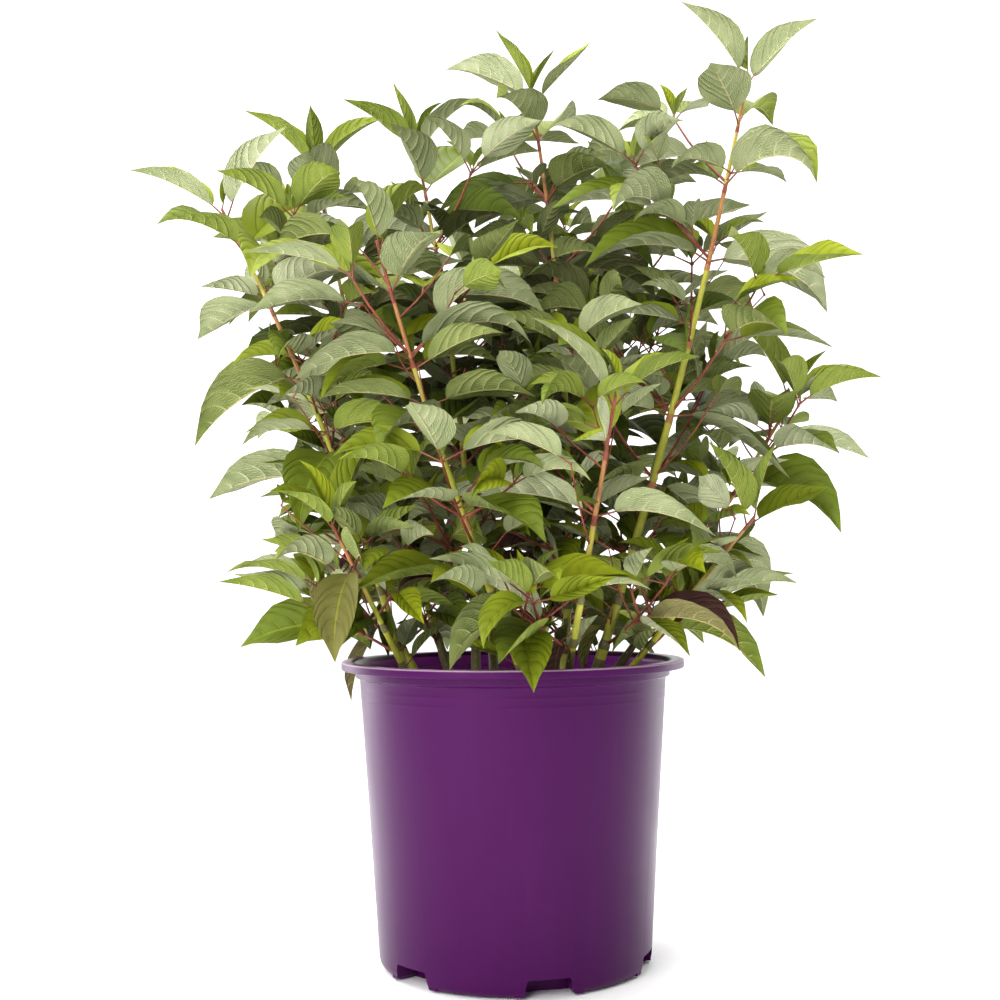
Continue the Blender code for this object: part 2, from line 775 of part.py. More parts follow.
def build_mass(name, twigs, leaves, parts, pieces, surface):
    """Join one mass: its first twig is the stem, and the rest is fused to it."""
    verts, faces = leaf_template()
    stem = add_object(name, tube_mesh(twigs[0].points, twigs[0].radii, TWIG_SIDES, name), parts)
    for twig in twigs[1:]:
        add_object("twig", tube_mesh(twig.points, twig.radii, TWIG_SIDES, "twig"), pieces)
    for leaf in leaves:
        mesh = bpy.data.meshes.new("leaf")
        mesh.from_pydata(leaf_points(leaf, verts), [], faces)
        add_object("leaf", mesh, pieces)
    apply_boolean(stem, "UNION", pieces, solver="MANIFOLD")
    remove_objects(pieces.objects)
    bm = bmesh.new()
    bm.from_mesh(stem.data)
    bmesh.ops.triangulate(bm, faces=bm.faces)
    bmesh.ops.dissolve_degenerate(bm, dist=SLIVER, edges=bm.edges)
    bm.to_mesh(stem.data)
    bm.free()
    stem.data.materials.clear()
    stem.data.materials.append(surface)
    return stem


def main():
    clear_scene()
    parts = new_collection("potted_red_twig_dogwood")
    pieces = new_collection("pieces")
    pot = build_pot(parts, pieces)
    mix = build_mix(parts, pieces)
    bark = material("cane bark", (0.300, 0.290, 0.060), 0.55)
    foliage = material("foliage", (0.240, 0.300, 0.095), 0.60)
    places = Places()
    places.add_mesh(pot)
    places.add_mesh(mix)
    for name, cane in CANES.items():
        places.add_mesh(build_bough(name, cane, parts, bark))
    twigs, leaves = grow_plant(places)
    for name in dict.fromkeys(twig.mass for twig in twigs):
        own_twigs = [twig for twig in twigs if twig.mass == name]
        own_leaves = [leaf for leaf in leaves if leaf.mass == name]
        build_mass(name, own_twigs, own_leaves, parts, pieces, foliage)
    bpy.data.collections.remove(pieces)


main()
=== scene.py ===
"""A young red twig dogwood in its purple nursery pot, on a bare pale floor."""
import math
import random
from collections import namedtuple

import bmesh
import bpy
import numpy as np
from mathutils import Matrix, Quaternion, Vector, noise
from mathutils.bvhtree import BVHTree


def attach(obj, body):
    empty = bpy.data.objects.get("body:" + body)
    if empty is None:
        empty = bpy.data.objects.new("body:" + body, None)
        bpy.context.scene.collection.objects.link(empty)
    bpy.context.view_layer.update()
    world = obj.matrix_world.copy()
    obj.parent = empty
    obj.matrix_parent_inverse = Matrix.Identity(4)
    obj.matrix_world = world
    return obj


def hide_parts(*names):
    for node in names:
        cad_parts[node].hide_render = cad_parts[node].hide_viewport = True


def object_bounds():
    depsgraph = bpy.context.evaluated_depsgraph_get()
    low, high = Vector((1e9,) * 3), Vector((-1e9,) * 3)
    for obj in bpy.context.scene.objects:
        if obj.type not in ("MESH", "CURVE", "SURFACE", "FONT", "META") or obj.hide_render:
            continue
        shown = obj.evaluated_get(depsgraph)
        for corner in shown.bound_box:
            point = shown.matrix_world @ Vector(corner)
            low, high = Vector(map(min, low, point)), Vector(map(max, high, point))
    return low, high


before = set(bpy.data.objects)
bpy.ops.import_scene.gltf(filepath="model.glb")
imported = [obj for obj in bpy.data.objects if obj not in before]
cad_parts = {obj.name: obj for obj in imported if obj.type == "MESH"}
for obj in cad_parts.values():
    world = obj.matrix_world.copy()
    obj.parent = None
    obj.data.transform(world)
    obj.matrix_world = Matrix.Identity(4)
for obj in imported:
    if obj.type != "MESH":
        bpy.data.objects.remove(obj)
cad_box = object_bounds()


# ---- The pot -------------------------------------------------------------------------
# A thin injection-moulded nursery pot of tinted polypropylene, satin outside. It comes
# out of the mould in one piece with its rolled lip, its plain band and the six drainage
# notches at the foot, each with a raised pocket behind it.
POT_HEIGHT = 0.240
POT_STEPS = 144             # faces round the pot
RIM_RADIUS = 0.138
LIP_INNER = 0.1284          # radius of the lip's inner edge
LIP_DROP = 0.0064           # depth of the lip's outer face
BAND_RADIUS = 0.1265
BAND_HEIGHT = 0.0070
WALL = 0.0018
TOP_RADIUS = 0.1242         # of the tapering wall, if it went on up to the rim
BASE_RADIUS = 0.1082
FOOT_ROUND = 0.0080
FOOT_FLAT = 0.0995
FLOOR = 0.0030
RIDGES = (0.2185, 0.2115)   # heights of the two faint ridges under the band
RIDGE_HEIGHT = 0.00014
RIDGE_HALF = 0.0016         # half a ridge's width
NOTCHES = 6
NOTCH_TURN = 13.3           # degrees of the first notch from the front
NOTCH_WIDTH = 0.037
NOTCH_TOP_WIDTH = 0.033
NOTCH_HEIGHT = 0.0140
NOTCH_FLARE = 0.0022        # the notch is this much wider at the ground, on each side
NOTCH_INNER = 0.0865
POCKET_INNER = 0.0840
POCKET_HEIGHT = 0.0158
POCKET_SPREAD = 28.0        # degrees
POCKET_STEPS = 10
POT_SHARP = 32.0            # degrees between faces from which an edge is drawn sharp
PLASTIC = (0.039, 0.0011, 0.0465)
PLASTIC_WORN = (0.063, 0.0050, 0.071)
PLASTIC_SHEEN = (1.0, 0.62, 1.0)
# painted light: the inside of the wall above the mix, far brighter than the plastic itself
PLASTIC_PAINTED_LIGHT_INSIDE = (0.230, 0.0250, 0.290)
PLASTIC_PAINTED_HIGHLIGHT = (0.520, 0.330, 0.470)   # painted highlight along the lip's top edge
WORN_SHARE = 0.45           # of the rubbed colour, where the pot is rubbed most
WORN_FOOT = 0.030           # height up to which the foot is rubbed more than the wall
# share of the painted highlight's colour along the lip
LIP_HIGHLIGHT_SHARE = 0.55
PAINTED_INSIDE_LIGHT_FROM = (0.214, 0.220)           # heights between which the painted light on the inside grows
BAND_STEP = (0.2272, 0.2274)           # heights between which the shell steps out
UNDER_BAND = 0.2255         # height at which the shell below that step is measured
ROUND_STEPS = 4             # faces round a rounded corner
UP = Vector((0.0, 0.0, 1.0))


def add_node(tree, kind, inputs=None, **settings):
    """One node; inputs maps a socket's name or number to a value or another output."""
    node = tree.nodes.new("ShaderNode" + kind)
    for key, value in settings.items():
        setattr(node, key, value)
    for key, value in (inputs or {}).items():
        if isinstance(value, bpy.types.NodeSocket):
            tree.links.new(value, node.inputs[key])
        else:
            node.inputs[key].default_value = value
    return node


def math_node(tree, operation, first, second=0.0):
    return add_node(tree, "Math", {0: first, 1: second}, operation=operation).outputs[0]


def times(tree, first, second):
    return math_node(tree, "MULTIPLY", first, second)


def plus(tree, first, second):
    return math_node(tree, "ADD", first, second)


def minus(tree, first, second):
    return math_node(tree, "SUBTRACT", first, second)


def ranged(tree, value, low, high, start=0.0, end=1.0):
    """A smooth step from start at low to end at high."""
    inputs = {"Value": value, 1: low, 2: high, 3: start, 4: end}
    return add_node(tree, "MapRange", inputs, interpolation_type="SMOOTHSTEP").outputs[0]


def mixed(tree, factor, first, second):
    inputs = {0: factor, 6: first, 7: second}
    return add_node(tree, "Mix", inputs, data_type="RGBA").outputs[2]


def noise_node(tree, place, scale, detail):
    inputs = {"Vector": place, "Scale": scale, "Detail": detail}
    return add_node(tree, "TexNoise", inputs).outputs[0]


def stretched(tree, place, scale):
    inputs = {"Vector": place, "Scale": scale}
    return add_node(tree, "Mapping", inputs).outputs[0]


def new_surface(name, roughness, specular):
    """A material with its tree and its Principled shader."""
    made = bpy.data.materials.new(name)
    made.use_nodes = True
    tree = made.node_tree
    shader = tree.nodes["Principled BSDF"]
    shader.inputs["Roughness"].default_value = roughness
    shader.inputs["Specular IOR Level"].default_value = specular
    return made, tree, shader


def object_place(tree):
    """The place on the object, in metres."""
    return add_node(tree, "TexCoord").outputs["Object"]


def finish_surface(tree, shader, base, roughness, relief, distance, strength):
    """Gives a shader its colour, its roughness and a relief distance metres high."""
    inputs = {"Height": relief, "Distance": distance, "Strength": strength}
    bump = add_node(tree, "Bump", inputs)
    tree.links.new(base, shader.inputs["Base Color"])
    tree.links.new(roughness, shader.inputs["Roughness"])
    tree.links.new(bump.outputs[0], shader.inputs["Normal"])


def colour(values):
    return (*values, 1.0)


def plastic_surface():
    """Satin plastic: rubbed paler in streaks, with painted light inside above the mix and a painted
    highlight along the lip.
    """
    made, tree, shader = new_surface("pot plastic", 0.34, 0.16)
    shader.inputs["Specular Tint"].default_value = colour(PLASTIC_SHEEN)
    place = object_place(tree)
    cloud = noise_node(tree, place, 14.0, 4.0)
    streak = noise_node(tree, stretched(tree, place, (90.0, 90.0, 7.0)), 1.0, 2.0)
    grain = noise_node(tree, place, 900.0, 2.0)
    apart = add_node(tree, "SeparateXYZ", {0: place}).outputs
    height = apart[2]
    low = ranged(tree, height, 0.0, WORN_FOOT, 0.55, 0.0)
    rubbed = ranged(tree, times(tree, streak, cloud), 0.26, 0.42, 0.0, 0.35)
    worn = plus(tree, rubbed, times(tree, low, streak))
    worn = times(tree, worn, WORN_SHARE)
    base = mixed(tree, worn, colour(PLASTIC), colour(PLASTIC_WORN))
    # painted light: the inside of the wall above the mix is mixed to a much brighter colour
    out = math_node(tree, "POWER", apart[0], 2.0)
    out = plus(tree, out, math_node(tree, "POWER", apart[1], 2.0))
    out = math_node(tree, "POWER", out, 0.5)
    shell = (wall_radius(UNDER_BAND) - 0.5 * WALL, BAND_RADIUS - 0.5 * WALL)
    inner = minus(tree, ranged(tree, height, *BAND_STEP, *shell), out)
    inside = times(tree, ranged(tree, inner, 0.0, 0.0002), ranged(tree, height, *PAINTED_INSIDE_LIGHT_FROM))
    base = mixed(tree, inside, base, colour(PLASTIC_PAINTED_LIGHT_INSIDE))
    # painted highlight: a pale line along the lip's rounded top edge
    edge = ranged(tree, height, POT_HEIGHT - 0.0015, POT_HEIGHT - 0.0006, 0.0, LIP_HIGHLIGHT_SHARE)
    edge = times(tree, edge, ranged(tree, out, RIM_RADIUS - 0.0036, RIM_RADIUS - 0.0020))
    base = mixed(tree, edge, base, colour(PLASTIC_PAINTED_HIGHLIGHT))
    roughness = ranged(tree, cloud, 0.3, 0.7, 0.285, 0.35)
    relief = plus(tree, times(tree, cloud, 2.0), grain)
    finish_surface(tree, shader, base, roughness, relief, 0.00012, 0.5)
    return made


def wall_radius(height):
    return BASE_RADIUS + (TOP_RADIUS - BASE_RADIUS) * height / POT_HEIGHT


def rounded(corners):
    """The outline through the corners, each rounded by its own third number."""
    line = []
    for index, corner in enumerate(corners):
        here = Vector(corner[:2])
        if corner[2] == 0.0:
            line.append(here)
            continue
        before = Vector(corners[index - 1][:2])
        after = Vector(corners[(index + 1) % len(corners)][:2])
        start = here + (before - here).normalized() * corner[2]
        end = here + (after - here).normalized() * corner[2]
        for step in range(ROUND_STEPS + 1):
            t = step / ROUND_STEPS
            line.append(start * (1 - t) ** 2 + here * 2 * t * (1 - t) + end * t * t)
    return line


def pot_outline():
    """Radius, height and rounding, from the middle of the underside round to the floor."""
    lip_low = POT_HEIGHT - LIP_DROP
    band_low = lip_low - BAND_HEIGHT
    lip_under = POT_HEIGHT - WALL
    flare = LIP_INNER - (BAND_RADIUS - WALL)
    outline = [(0.0, 0.0, 0.0), (wall_radius(0.0), 0.0, FOOT_ROUND)]
    ridge = ((-RIDGE_HALF, 0.0, 0.0006), (0.0, RIDGE_HEIGHT, 0.0008), (RIDGE_HALF, 0.0, 0.0006))
    for height in reversed(RIDGES):
        for off, out, curve in ridge:
            outline.append((wall_radius(height + off) + out, height + off, curve))
    outline += [
        (wall_radius(band_low), band_low - 0.0004, 0.0006),
        (BAND_RADIUS, band_low + 0.0008, 0.0007),
        (BAND_RADIUS, lip_under - flare, 0.0008),
        (LIP_INNER + 0.5 * WALL, lip_under, 0.0006),
        (RIM_RADIUS - WALL, lip_under, 0.0006),
        (RIM_RADIUS - WALL, lip_low, 0.0006),
        (RIM_RADIUS, lip_low, 0.0008),
        (RIM_RADIUS, POT_HEIGHT, 0.0012),
        (LIP_INNER, POT_HEIGHT, 0.0020),
        (BAND_RADIUS - WALL, POT_HEIGHT - 1.3 * flare, 0.0020),
        (BAND_RADIUS - WALL, band_low + WALL, 0.0010),
        (wall_radius(band_low) - WALL, band_low, 0.0010),
        (wall_radius(FOOT_ROUND) - WALL, FOOT_ROUND, 0.0040),
        (FOOT_FLAT, FLOOR, 0.0030),
        (0.0, FLOOR, 0.0),
    ]
    return rounded(outline)


def turned_mesh(name, line, steps):
    """The line turned once round the Z axis, with one point wherever it meets the axis."""
    bm = bmesh.new()
    rings = []
    for radius, height in line:
        if radius < 1e-6:
            rings.append([bm.verts.new((0.0, 0.0, height))] * steps)
            continue
        ring = []
        for step in range(steps):
            angle = 2.0 * math.pi * step / steps
            ring.append(bm.verts.new((radius * math.cos(angle), radius * math.sin(angle), height)))
        rings.append(ring)
    for lower, upper in zip(rings, rings[1:]):
        for step in range(steps):
            following = (step + 1) % steps
            corners = (lower[step], lower[following], upper[following], upper[step])
            bm.faces.new(tuple(dict.fromkeys(corners)))
    return finished(bm, name)


def finished(bm, name):
    bmesh.ops.recalc_face_normals(bm, faces=bm.faces)
    mesh = bpy.data.meshes.new(name)
    bm.to_mesh(mesh)
    bm.free()
    return mesh


def add_object(name, mesh, *surfaces):
    obj = bpy.data.objects.new(name, mesh)
    bpy.context.scene.collection.objects.link(obj)
    for surface in surfaces:
        mesh.materials.append(surface)
    return obj


def evaluated(obj):
    """The object's shape with its modifiers, as a mesh of its own."""
    graph = bpy.context.evaluated_depsgraph_get()
    return bpy.data.meshes.new_from_object(obj.evaluated_get(graph), depsgraph=graph)


def combine(obj, operation, mesh):
    """Cut the mesh from the object, or fuse it on, for good."""
    other = add_object("other", mesh)
    boolean = obj.modifiers.new(operation, "BOOLEAN")
    boolean.operation = operation
    boolean.solver = "EXACT"
    boolean.object = other
    result = evaluated(obj)
    obj.modifiers.clear()
    obj.data = result
    bpy.data.objects.remove(other, do_unlink=True)


def notch_angle(index):
    return math.radians(NOTCH_TURN - 90.0 + index * 360.0 / NOTCHES)


def pocket_mesh(index):
    """The raised pocket behind a notch, a sector of a ring."""
    outer = wall_radius(FOOT_ROUND) - 0.5 * WALL
    spread = math.radians(POCKET_SPREAD)
    start = notch_angle(index) - spread / 2.0
    low = 0.5 * FLOOR
    corners = [
        (POCKET_INNER, low, 0.0),
        (outer, low, 0.0),
        (outer, POCKET_HEIGHT, 0.0),
        (POCKET_INNER, POCKET_HEIGHT, 0.0020),
    ]
    bm = bmesh.new()
    verts = []
    for radius, height in rounded(corners):
        verts.append(bm.verts.new((radius * math.cos(start), radius * math.sin(start), height)))
    face = bm.faces.new(verts)
    geometry = [face] + list(face.edges) + list(face.verts)
    bmesh.ops.spin(bm, geom=geometry, axis=UP, angle=spread, steps=POCKET_STEPS)
    return finished(bm, "pocket")


def notch_mesh(index):
    """A block through the wall at the foot, rounded above and flaring at the ground."""
    wide = NOTCH_WIDTH / 2.0
    corners = [
        (wide + NOTCH_FLARE, -FLOOR, 0.0),
        (wide + NOTCH_FLARE, 0.0002, 0.0008),
        (wide, 0.0026, 0.0010),
        (NOTCH_TOP_WIDTH / 2.0, NOTCH_HEIGHT, 0.0022),
    ]
    corners += [(-across, height, curve) for across, height, curve in reversed(corners)]
    turn = Quaternion(UP, notch_angle(index))
    bm = bmesh.new()
    ends = []
    for reach in (NOTCH_INNER, RIM_RADIUS):
        ring = [bm.verts.new(turn @ Vector((reach, a, h))) for a, h in rounded(corners)]
        ends.append(ring)
        bm.faces.new(ring)
    for side in range(len(ends[0])):
        inner, outer = ends
        bm.faces.new((inner[side - 1], inner[side], outer[side], outer[side - 1]))
    return finished(bm, "notch")


pot = add_object("pot_shell", turned_mesh("pot_shell", pot_outline(), POT_STEPS))
for index in range(NOTCHES):
    combine(pot, "UNION", pocket_mesh(index))
for index in range(NOTCHES):
    combine(pot, "DIFFERENCE", notch_mesh(index))
pot.data.materials.clear()
pot.data.materials.append(plastic_surface())
pot.data.shade_smooth()
pot.data.set_sharp_from_angle(angle=math.radians(POT_SHARP))
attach(pot, "root")
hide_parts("pot")


# ---- The potting mix -----------------------------------------------------------------
# A damp mix of composted bark and peat that fills the pot to below its lip. It was
# poured in and watered down, so its top is lumpy and strewn with chips of bark.
MIX_TOP = 0.222
MIX_RADIUS = wall_radius(MIX_TOP) - WALL - 0.0006
MIX_SUNK = 0.0060           # the lumpy top's piece reaches this far into the mix
MIX_RINGS = 40
MIX_STEPS = 110
CHIPLESS = 0.008            # no chips this near to the pot's wall
PEAT = (0.020, 0.012, 0.009)
PEAT_DRY = (0.060, 0.038, 0.027)
CHIP_DARK = (0.060, 0.032, 0.020)
CHIP_PALE = (0.170, 0.100, 0.062)


def crumbly_surface(name, dark, pale, scale):
    """Dull crumbs in two colours; scale is the number of lumps in a metre."""
    made, tree, shader = new_surface(name, 0.9, 0.3)
    place = object_place(tree)
    lumps = noise_node(tree, place, scale, 5.0)
    crumbs = add_node(tree, "TexVoronoi", {"Vector": place, "Scale": scale * 4.0}).outputs[0]
    relief = plus(tree, lumps, crumbs)
    base = mixed(tree, ranged(tree, relief, 0.55, 1.15), colour(dark), colour(pale))
    roughness = ranged(tree, lumps, 0.3, 0.7, 0.75, 0.98)
    finish_surface(tree, shader, base, roughness, relief, 0.0012, 0.8)
    return made


def mix_height(x, y):
    """Height of the lumpy top, which falls off a little at the pot's wall."""
    reach = math.hypot(x, y) / MIX_RADIUS
    lump = 0.0028 * noise.noise(Vector((x * 38.0, y * 38.0, 1.7)))
    crumb = 0.0013 * noise.noise(Vector((x * 160.0, y * 160.0, 4.1)))
    grit = 0.0006 * noise.noise(Vector((x * 420.0, y * 420.0, 8.3)))
    return MIX_TOP + 0.0018 - 0.0040 * reach ** 8 + lump + crumb + grit


def mix_mesh():
    """The lumpy top, closed below inside the mix itself."""
    line = [(MIX_RADIUS * math.sqrt(ring / MIX_RINGS), MIX_TOP) for ring in range(MIX_RINGS + 1)]
    line += [(MIX_RADIUS, MIX_TOP - MIX_SUNK), (0.0, MIX_TOP - MIX_SUNK)]
    mesh = turned_mesh("mix_top", line, MIX_STEPS)
    for vert in mesh.vertices:
        if vert.co.z > MIX_TOP - MIX_SUNK / 2.0:
            vert.co.z = mix_height(vert.co.x, vert.co.y)
    mesh.shade_smooth()
    return mesh


def random_vector(tree, low, high):
    """A node that gives every point another vector between two."""
    node = tree.nodes.new("FunctionNodeRandomValue")
    node.data_type = "FLOAT_VECTOR"
    node.inputs[0].default_value = low
    node.inputs[1].default_value = high
    return node


def strewing_tree():
    """Geometry nodes: flat chips strewn over a surface, each turned and sized at random."""
    tree = bpy.data.node_groups.new("strewn chips", "GeometryNodeTree")
    for name, way, kind in (
        ("Surface", "INPUT", "Geometry"),
        ("Chips per square metre", "INPUT", "Float"),
        ("Chip size", "INPUT", "Vector"),
        ("Seed", "INPUT", "Int"),
        ("Material", "INPUT", "Material"),
        ("Chips", "OUTPUT", "Geometry"),
    ):
        tree.interface.new_socket(name, in_out=way, socket_type="NodeSocket" + kind)
    nodes = tree.nodes
    given = nodes.new("NodeGroupInput")
    spread = nodes.new("GeometryNodeDistributePointsOnFaces")
    chip = nodes.new("GeometryNodeMeshIcoSphere")
    chip.inputs["Subdivisions"].default_value = 1
    shaped = nodes.new("GeometryNodeTransform")
    turn = random_vector(tree, (-0.7, -0.7, 0.0), (0.7, 0.7, 2.0 * math.pi))
    size = random_vector(tree, (0.4, 0.4, 0.4), (1.5, 1.2, 1.3))
    placed = nodes.new("GeometryNodeInstanceOnPoints")
    real = nodes.new("GeometryNodeRealizeInstances")
    painted = nodes.new("GeometryNodeSetMaterial")
    result = nodes.new("NodeGroupOutput")
    links = (
        (given.outputs["Surface"], spread.inputs["Mesh"]),
        (given.outputs["Chips per square metre"], spread.inputs["Density"]),
        *((given.outputs["Seed"], node.inputs["Seed"]) for node in (spread, turn, size)),
        (chip.outputs["Mesh"], shaped.inputs["Geometry"]),
        (given.outputs["Chip size"], shaped.inputs["Scale"]),
        (spread.outputs["Points"], placed.inputs["Points"]),
        (shaped.outputs[0], placed.inputs["Instance"]),
        (turn.outputs[0], placed.inputs["Rotation"]),
        (size.outputs[0], placed.inputs["Scale"]),
        (placed.outputs[0], real.inputs[0]),
        (real.outputs[0], painted.inputs["Geometry"]),
        (given.outputs["Material"], painted.inputs["Material"]),
        (painted.outputs[0], result.inputs["Chips"]),
    )
    for start, end in links:
        tree.links.new(start, end)
    return tree


def grown(tree, mesh, values):
    """The mesh that a node tree makes from a mesh, with its named inputs set."""
    source = add_object("source", mesh)
    modifier = source.modifiers.new("rule", "NODES")
    modifier.node_group = tree
    for item in tree.interface.items_tree:
        if item.name in values:
            modifier[item.identifier] = values[item.name]
    result = evaluated(source)
    bpy.data.objects.remove(source, do_unlink=True)
    return result


def mix_surface_only():
    """The mix's top alone, a little inside the wall, for the chips to lie on."""
    bm = bmesh.new()
    bm.from_mesh(mix_mesh())
    inner = MIX_RADIUS - CHIPLESS
    lost = [
        face
        for face in bm.faces
        if face.normal.z < 0.3 or face.calc_center_median().to_2d().length > inner
    ]
    bmesh.ops.delete(bm, geom=lost, context="FACES")
    mesh = bpy.data.meshes.new("mix_surface")
    bm.to_mesh(mesh)
    bm.free()
    return mesh


peat = crumbly_surface("damp peat", PEAT, PEAT_DRY, 220.0)
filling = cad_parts["potting_mix"].data
filling.materials.clear()
filling.materials.append(peat)
mix_top = add_object("mix_top", mix_mesh(), peat)
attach(mix_top, "root")
strewing = strewing_tree()
dark_bark = crumbly_surface("dark bark chips", CHIP_DARK, CHIP_PALE, 320.0)
pale_bark = crumbly_surface("pale bark chips", CHIP_PALE, CHIP_DARK, 260.0)
for name, amount, size, seed, surface in (    # chips on a square metre, and one chip's size
    ("chips_dark", 26000.0, (0.0042, 0.0022, 0.0011), 3, dark_bark),
    ("chips_pale", 5200.0, (0.0058, 0.0019, 0.0010), 5, pale_bark),
):
    values = {"Chips per square metre": amount, "Chip size": size}
    values |= {"Seed": seed, "Material": surface}
    chips = add_object(name, grown(strewing, mix_surface_only(), values))
    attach(chips, "root")


# ---- The canes -----------------------------------------------------------------------
# Fourteen living stems that rise from the mix, smooth and thin-barked: olive-brown at the
# foot, yellow-green above, flushed orange to red on the young wood. Each swells at every
# leaf pair, where two leaf scars meet round the stem.
Cane = namedtuple("Cane", "foot tip bow radius crown turn")
CANES = {         # bow moves a cane's middle; crown is its leafy length; turn is in degrees
    "a": Cane((-0.084, -0.012), (-0.230, -0.030, 0.604), (0.024, 0.000), 0.0034, 0.27, -8),
    "b": Cane((0.012, -0.062), (-0.096, -0.128, 0.553), (-0.010, -0.012), 0.0037, 0.20, 60),
    "c": Cane((-0.030, 0.014), (-0.077, 0.020, 0.668), (0.022, 0.000), 0.0035, 0.34, 5),
    "d": Cane((0.042, 0.004), (0.020, 0.000, 0.704), (0.028, 0.010), 0.0035, 0.37, 0),
    "e": Cane((0.062, -0.042), (0.190, -0.056, 0.698), (0.014, -0.016), 0.0040, 0.36, 0),
    "f": Cane((-0.052, 0.040), (-0.168, 0.064, 0.664), (-0.016, 0.010), 0.0034, 0.34, 20),
    "g": Cane((0.034, 0.046), (0.118, 0.122, 0.640), (0.012, 0.014), 0.0033, 0.31, 30),
    "h": Cane((-0.016, 0.058), (-0.040, 0.168, 0.598), (0.000, 0.016), 0.0033, 0.29, 75),
    "i": Cane((0.080, 0.014), (0.232, -0.006, 0.452), (0.006, 0.000), 0.0032, 0.19, 20),
    "j": Cane((-0.078, 0.030), (-0.200, 0.112, 0.468), (-0.008, 0.008), 0.0031, 0.19, 60),
    "k": Cane((0.012, 0.080), (0.052, 0.204, 0.452), (0.004, 0.012), 0.0031, 0.18, 15),
    "l": Cane((0.040, -0.078), (0.074, -0.172, 0.432), (0.000, -0.010), 0.0031, 0.16, 20),
    "m": Cane((0.084, -0.028), (0.184, -0.082, 0.350), (0.000, 0.000), 0.0029, 0.10, 10),
    "n": Cane((-0.078, -0.042), (-0.132, -0.104, 0.346), (0.000, 0.000), 0.0029, 0.10, 40),
}
CANE_TIP_RADIUS = 0.0011
FOOT_SWELL = 0.0010         # added to a cane's radius where it leaves the mix
FOOT_SWELL_SHARE = 1.0 / 12.0
GAP = 0.0003                # clearance between solids that touch on the real plant
PAIR_STEPS = (0.010, 0.030, 0.050, 0.062, 0.064, 0.060, 0.054, 0.048, 0.042, 0.038, 0.036)
CANE_STEPS = 14             # faces round a cane
CANE_RING = 0.0026          # from one ring of faces to the next
CANE_SUNK = 0.004           # a cane starts this far down in the mix
CANE_LEAFLESS = 0.030       # no leaf pair nearer to a cane's foot
LOW_PAIR_STEP = 0.036       # between the leafless pairs low on a cane
LOWEST_PAIR = 0.055
NODE_SWELL = 0.17
NODE_HALF = 0.0028          # half the length of the swelling at a leaf pair
SCAR_DEPTH = 0.07
SCAR_OFF = 0.0012           # the scar lies this far above the swelling's middle
SCAR_HALF = 0.0007
GRAIN_DEPTH = 0.045
BLUSH = 0.0040              # length of the flush on either side of a leaf pair
BLUSH_BROWN = 0.13          # below this height it is brown
GREEN_BELOW = 0.085
BROWN_BELOW = 0.010
BROWN_STEP = 0.013          # some canes are brown to one or two steps higher
BARK_SEED = 40
BARK_TINTS = {
    "foot": ((0.085, 0.078, 0.024), (0.150, 0.135, 0.042)),
    "green": ((0.290, 0.300, 0.026), (0.420, 0.400, 0.045)),
    "gold": ((0.340, 0.275, 0.045), (0.440, 0.350, 0.062)),
    "flushed": ((0.290, 0.115, 0.042), (0.390, 0.190, 0.060)),
    "red": ((0.150, 0.030, 0.020), (0.250, 0.068, 0.036)),
}


def bark_surface(name, tints):
    """Smooth bark: fine lengthwise streaks and a few pale corky dots."""
    made, tree, shader = new_surface(name, 0.5, 0.25)
    dark, pale = tints
    around = add_node(tree, "UVMap").outputs[0]
    place = object_place(tree)
    streak = noise_node(tree, stretched(tree, around, (26.0, 190.0, 1.0)), 1.0, 3.0)
    cloud = noise_node(tree, place, 55.0, 3.0)
    share = ranged(tree, plus(tree, streak, cloud), 0.80, 1.20)
    base = mixed(tree, share, colour(dark), colour(pale))
    cells = {"Vector": stretched(tree, around, (5.0, 210.0, 1.0)), "Scale": 1.0}
    dots = ranged(tree, add_node(tree, "TexVoronoi", cells).outputs[0], 0.10, 0.20, 1.0, 0.0)
    base = mixed(tree, times(tree, dots, 0.6), base, (0.42, 0.33, 0.18, 1.0))
    roughness = ranged(tree, streak, 0.3, 0.7, 0.42, 0.58)
    relief = plus(tree, times(tree, dots, 1.5), streak)
    finish_surface(tree, shader, base, roughness, relief, 0.00014, 0.7)
    return made


def cane_line(cane, count=60):
    """Points up the cane, from its foot on the mix to its tip."""
    foot = Vector((*cane.foot, MIX_TOP + GAP))
    tip = Vector(cane.tip)
    middle = (foot + tip) / 2.0 + Vector((*cane.bow, 0.0))
    points = []
    for index in range(count + 1):
        t = index / count
        points.append(foot * (1 - t) ** 2 + middle * 2 * t * (1 - t) + tip * t * t)
    return points


def line_length(points):
    return sum((b - a).length for a, b in zip(points, points[1:]))


def point_along(points, distance):
    """The point and the direction at a distance from the line's first point."""
    left = distance
    for start, end in zip(points, points[1:]):
        step = (end - start).length
        if left <= step:
            return start + (end - start) * (left / step), (end - start).normalized()
        left -= step
    direction = (points[-1] - points[-2]).normalized()
    return points[-1].copy(), direction


def cane_radius(cane, share):
    """Radius at a share of the cane's length, with a slight swelling at its foot."""
    taper = cane.radius + (CANE_TIP_RADIUS - cane.radius) * share
    return taper + FOOT_SWELL * max(0.0, 1.0 - share / FOOT_SWELL_SHARE)


def pair_distances(length):
    """Distances of the leaf pairs from a cane's tip, down to a length."""
    found = []
    distance = 0.0
    for step in PAIR_STEPS:
        distance += step
        if distance < length:
            found.append(distance)
    return found


